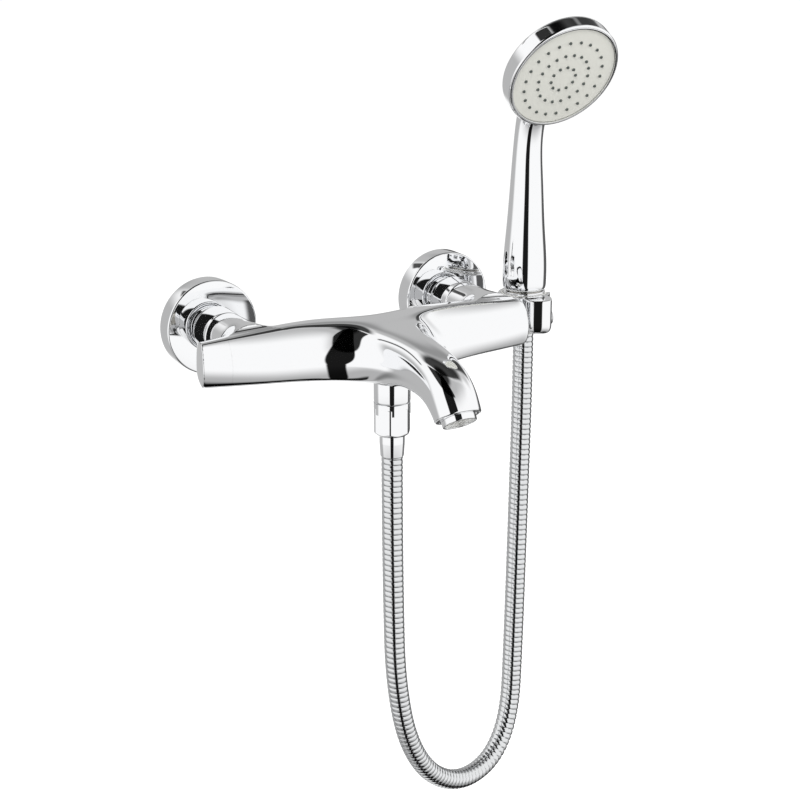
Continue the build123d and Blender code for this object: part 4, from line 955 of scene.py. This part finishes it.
def holderField(x, y, z):
    # A cup and a pillar, less the cone's seat and the slot on the right. The pillar's section is between a
    # circle and a square: the pth root of the sum of the pth powers.
    h = holder
    out = np.hypot(x - h["at"][0], y - h["at"][1])
    cup = softMax(softMax(out - h["radius"], h["foot"] - z, h["edge"]), z - h["top"], h["topEdge"])
    turn = math.radians(view["azimuth"])
    dx, dy = x - h["pillarAt"][0], y - h["pillarAt"][1]
    across, ahead = dx * math.cos(turn) + dy * math.sin(turn), dy * math.cos(turn) - dx * math.sin(turn)
    p = h["pillarPower"]
    post = (np.abs(across) ** p + np.abs(ahead) ** p) ** (1 / p) - h["pillarRadius"]
    post = softMax(softMax(post, h["pillarEnd"] - z, h["pillarFoot"]), z - h["top"], h["pillarTop"])
    seat = out - h["boreTop"] + np.maximum(h["shoulder"] - z, 0) * h["boreSlope"]
    slot = softMax(np.abs(y - h["at"][1]) - h["slot"], h["at"][0] - x, h["slotEdge"])
    return softMax(softMin(cup, post, h["join"]), -softMin(seat, slot, h["slotEdge"]), h["lip"])


def addHolder():
    # The cup on the body, and the hose's cone that sits in it.
    h, c = holder, cone
    piece = fieldObject("holderCup", holderField, h["lowest"], h["highest"], gridCell(h["cell"]))
    closeUp(piece, sharpAngle=50.0)
    dress(piece, "mixer", "cradle")
    corners = [(c["tail"], c["tailTop"], 0), (c["tail"], c["foot"], 0.2), (c["footRadius"], c["foot"], 0.5),
               (c["radius"], c["shoulder"], 1.5), (c["radius"], c["top"], 0.5), (c["bore"], c["top"], 0.2),
               (c["bore"], c["bushFoot"], 0), (c["flangeBore"], c["bushFoot"], 0),
               (c["flangeBore"], c["tailTop"], 0)]
    turnedRing("coneNut", corners, (*h["at"], 0), (0, 0, 1), "hose_end", "cone_nut")


addHolder()
print("holder and cone modelled")


# Hand shower: handle and head as one smooth shell, then the spray face with its nozzles

hand = {"x": 107.0, "foot": 8.5, "footRound": 4.6, "headAt": (107.0, -82.8, 135.5), "tilt": 30.0,
        "radius": 33.6, "rimDepth": 10.0, "domeDepth": 8.5, "backEdge": 2.4, "neckBlend": 9.0, "frontEdge": 1.4,
        "rimInside": 32.6, "recess": 2.7, "step": 0.02, "reach": 35.2, "lowest": (68, -107, 5),
        "highest": (146, -29, 173), "cell": 0.8}
# Stations up the handle: y, z, radius. The first lies below the foot, which is cut level.
handleStations = [(-45.0, 0.0, 12.3), (-45.0, 8.5, 12.5), (-45.1, 20.0, 12.7), (-45.3, 45.0, 11.1),
                  (-45.7, 72.0, 9.4), (-46.8, 97.0, 8.2), (-51.5, 114.0, 8.5), (-59.5, 125.0, 8.4),
                  (-68.0, 131.0, 6.5)]
sprayFace = {"plate": 31.3, "recess": 0.7, "drop": 1.6, "nozzle": 0.95, "tip": 0.78, "hole": 0.32, "out": 0.6,
             "steps": 16, "ringGap": 0.1, "ringWide": 1.1, "ringOut": 0.3, "holeDepth": 0.7}
# Rings of nozzles about the pattern's middle: how many, ring radius and the turn of the first in degrees
nozzleRings = [(10, 7.5, 14.8), (18, 15.6, 3.2), (22, 24.0, 16.4)]

tilt = math.radians(hand["tilt"])
faceOut = np.array([0.0, -math.cos(tilt), -math.sin(tilt)])
faceUp = np.array([0.0, -math.sin(tilt), math.cos(tilt)])
headAt = np.array(hand["headAt"])
handleCurve = tubeCurve([(y, z, r, r, 2.0) for y, z, r in handleStations])


def handField(x, y, z):
    # Handle: a tube cut level at the foot with a rounded edge. Head: a disc whose back is part of a ball.
    h = hand
    handle = softMax(tubeField(handleCurve, x - h["x"], y, z), h["foot"] - z, h["footRound"])
    out = (y - headAt[1]) * faceOut[1] + (z - headAt[2]) * faceOut[2]
    up = (y - headAt[1]) * faceUp[1] + (z - headAt[2]) * faceUp[2]
    around = np.hypot(x - headAt[0], up)
    ball = (h["radius"] ** 2 + h["domeDepth"] ** 2) / (2 * h["domeDepth"])
    dome = np.hypot(around, out - ball + h["rimDepth"] + h["domeDepth"]) - ball
    dome = np.where(out > 0, around - ball, dome)
    head = np.maximum(softMax(around - h["radius"], dome, h["backEdge"]), out)
    return softMin(head, handle, h["neckBlend"])


def addHandShell():
    # Handle and head in one surface. The head's front edge is cut, rounded and sunk for the plate.
    h = hand
    piece = fieldObject("handShower", handField, h["lowest"], h["highest"], gridCell(h["cell"]))
    bm = bmesh.new()
    bm.from_mesh(piece.data)
    start = headAt - faceOut * h["frontEdge"]
    sliced(bm, start, faceOut, near=(headAt, h["reach"]))
    lowest = math.acos((h["rimInside"] - h["radius"] + h["frontEdge"]) / h["frontEdge"])
    turn = np.linspace(0, lowest, 7)[1:]
    rings = [(h["radius"] - h["frontEdge"] * (1 - math.cos(t)), h["frontEdge"] * math.sin(t)) for t in turn]
    rings += [(h["rimInside"], rings[-1][1] - h["step"]), (h["rimInside"], h["frontEdge"] - h["recess"])]
    finishMouth(bm, start, faceOut, rings)
    bm.to_mesh(piece.data)
    bm.free()
    closeUp(piece, sharpAngle=50.0)
    dress(piece, "hand_shower", "handset_shell")


def nozzlePlaces():
    # Places of the nozzles on the face, as sideways and up from the head's middle.
    places = []
    for count, radius, turn in nozzleRings:
        angle = np.radians(turn + np.arange(count) * 360 / count)
        places += list(zip(radius * np.cos(angle), radius * np.sin(angle) - sprayFace["drop"]))
    return places


def addSprayFace():
    # Plate, rim ring and nozzles. A nozzle is a small turned cone with a hole in its tip, repeated.
    f, deep = sprayFace, -hand["recess"]
    plate = rounded([(0, deep, 0), (f["plate"], deep, 0.2), (f["plate"], -f["recess"], 0.35),
                     (0, -f["recess"], 0)])
    dress(lathe("sprayPlate", plate, headAt, faceOut, 160), "hand_shower", "spray_plate", "spray_grey")
    inner = f["plate"] + f["ringGap"]
    outer = inner + f["ringWide"]
    ring = [(inner, deep, 0), (inner, 0.1, 0.15), (outer, f["ringOut"], 0.35), (outer, deep, 0)]
    turnedRing("faceRing", ring, headAt, faceOut, "hand_shower", "face_ring", 160)
    top = f["out"] - f["recess"]
    end = top - f["holeDepth"]
    profile = np.array([(f["nozzle"], deep + 0.2), (f["nozzle"], -f["recess"] + 0.05),
                        (f["tip"] + 0.06, top - 0.1), (f["tip"], top), (f["hole"], top), (f["hole"] * 0.8, end),
                        (0.01, end)])
    angle = np.linspace(0, 2 * math.pi, f["steps"], endpoint=False)
    faceSide = np.array([1.0, 0, 0])
    ring = np.cos(angle)[:, None] * faceSide + np.sin(angle)[:, None] * faceUp
    nozzle = (profile[:, 0, None, None] * ring + profile[:, 1, None, None] * faceOut).reshape(-1, 3)
    middles = np.array([headAt + faceSide * side + faceUp * up for side, up in nozzlePlaces()])
    points = middles[:, None] + nozzle
    square = gridFaces(len(profile), f["steps"])
    faces = square + np.arange(len(middles))[:, None, None] * len(nozzle)
    piece = meshObject("sprayNozzles", points.reshape(-1, 3), faces.reshape(-1, 4))
    closeUp(piece, sharpAngle=40.0)
    dress(piece, "hand_shower", "spray_nozzles", "nozzle_rubber")


addHandShell()
addSprayFace()
print("hand shower modelled")


# Ring at the spout's mouth

aerator = {"radius": 9.3, "wall": 1.1, "back": -7.5, "out": 3.4}


def addAerator():
    # A thin ring, turned about the mouth's own direction.
    a = aerator
    inner = a["radius"] - a["wall"]
    corners = [(inner, a["back"], 0), (a["radius"], a["back"], 0.3), (a["radius"], a["out"], 0.35),
               (inner, a["out"], 0.3)]
    turnedRing("aeratorRing", corners, mouthAt, mouthDown, "mixer", "aerator_shell")


addAerator()
print("aerator modelled")
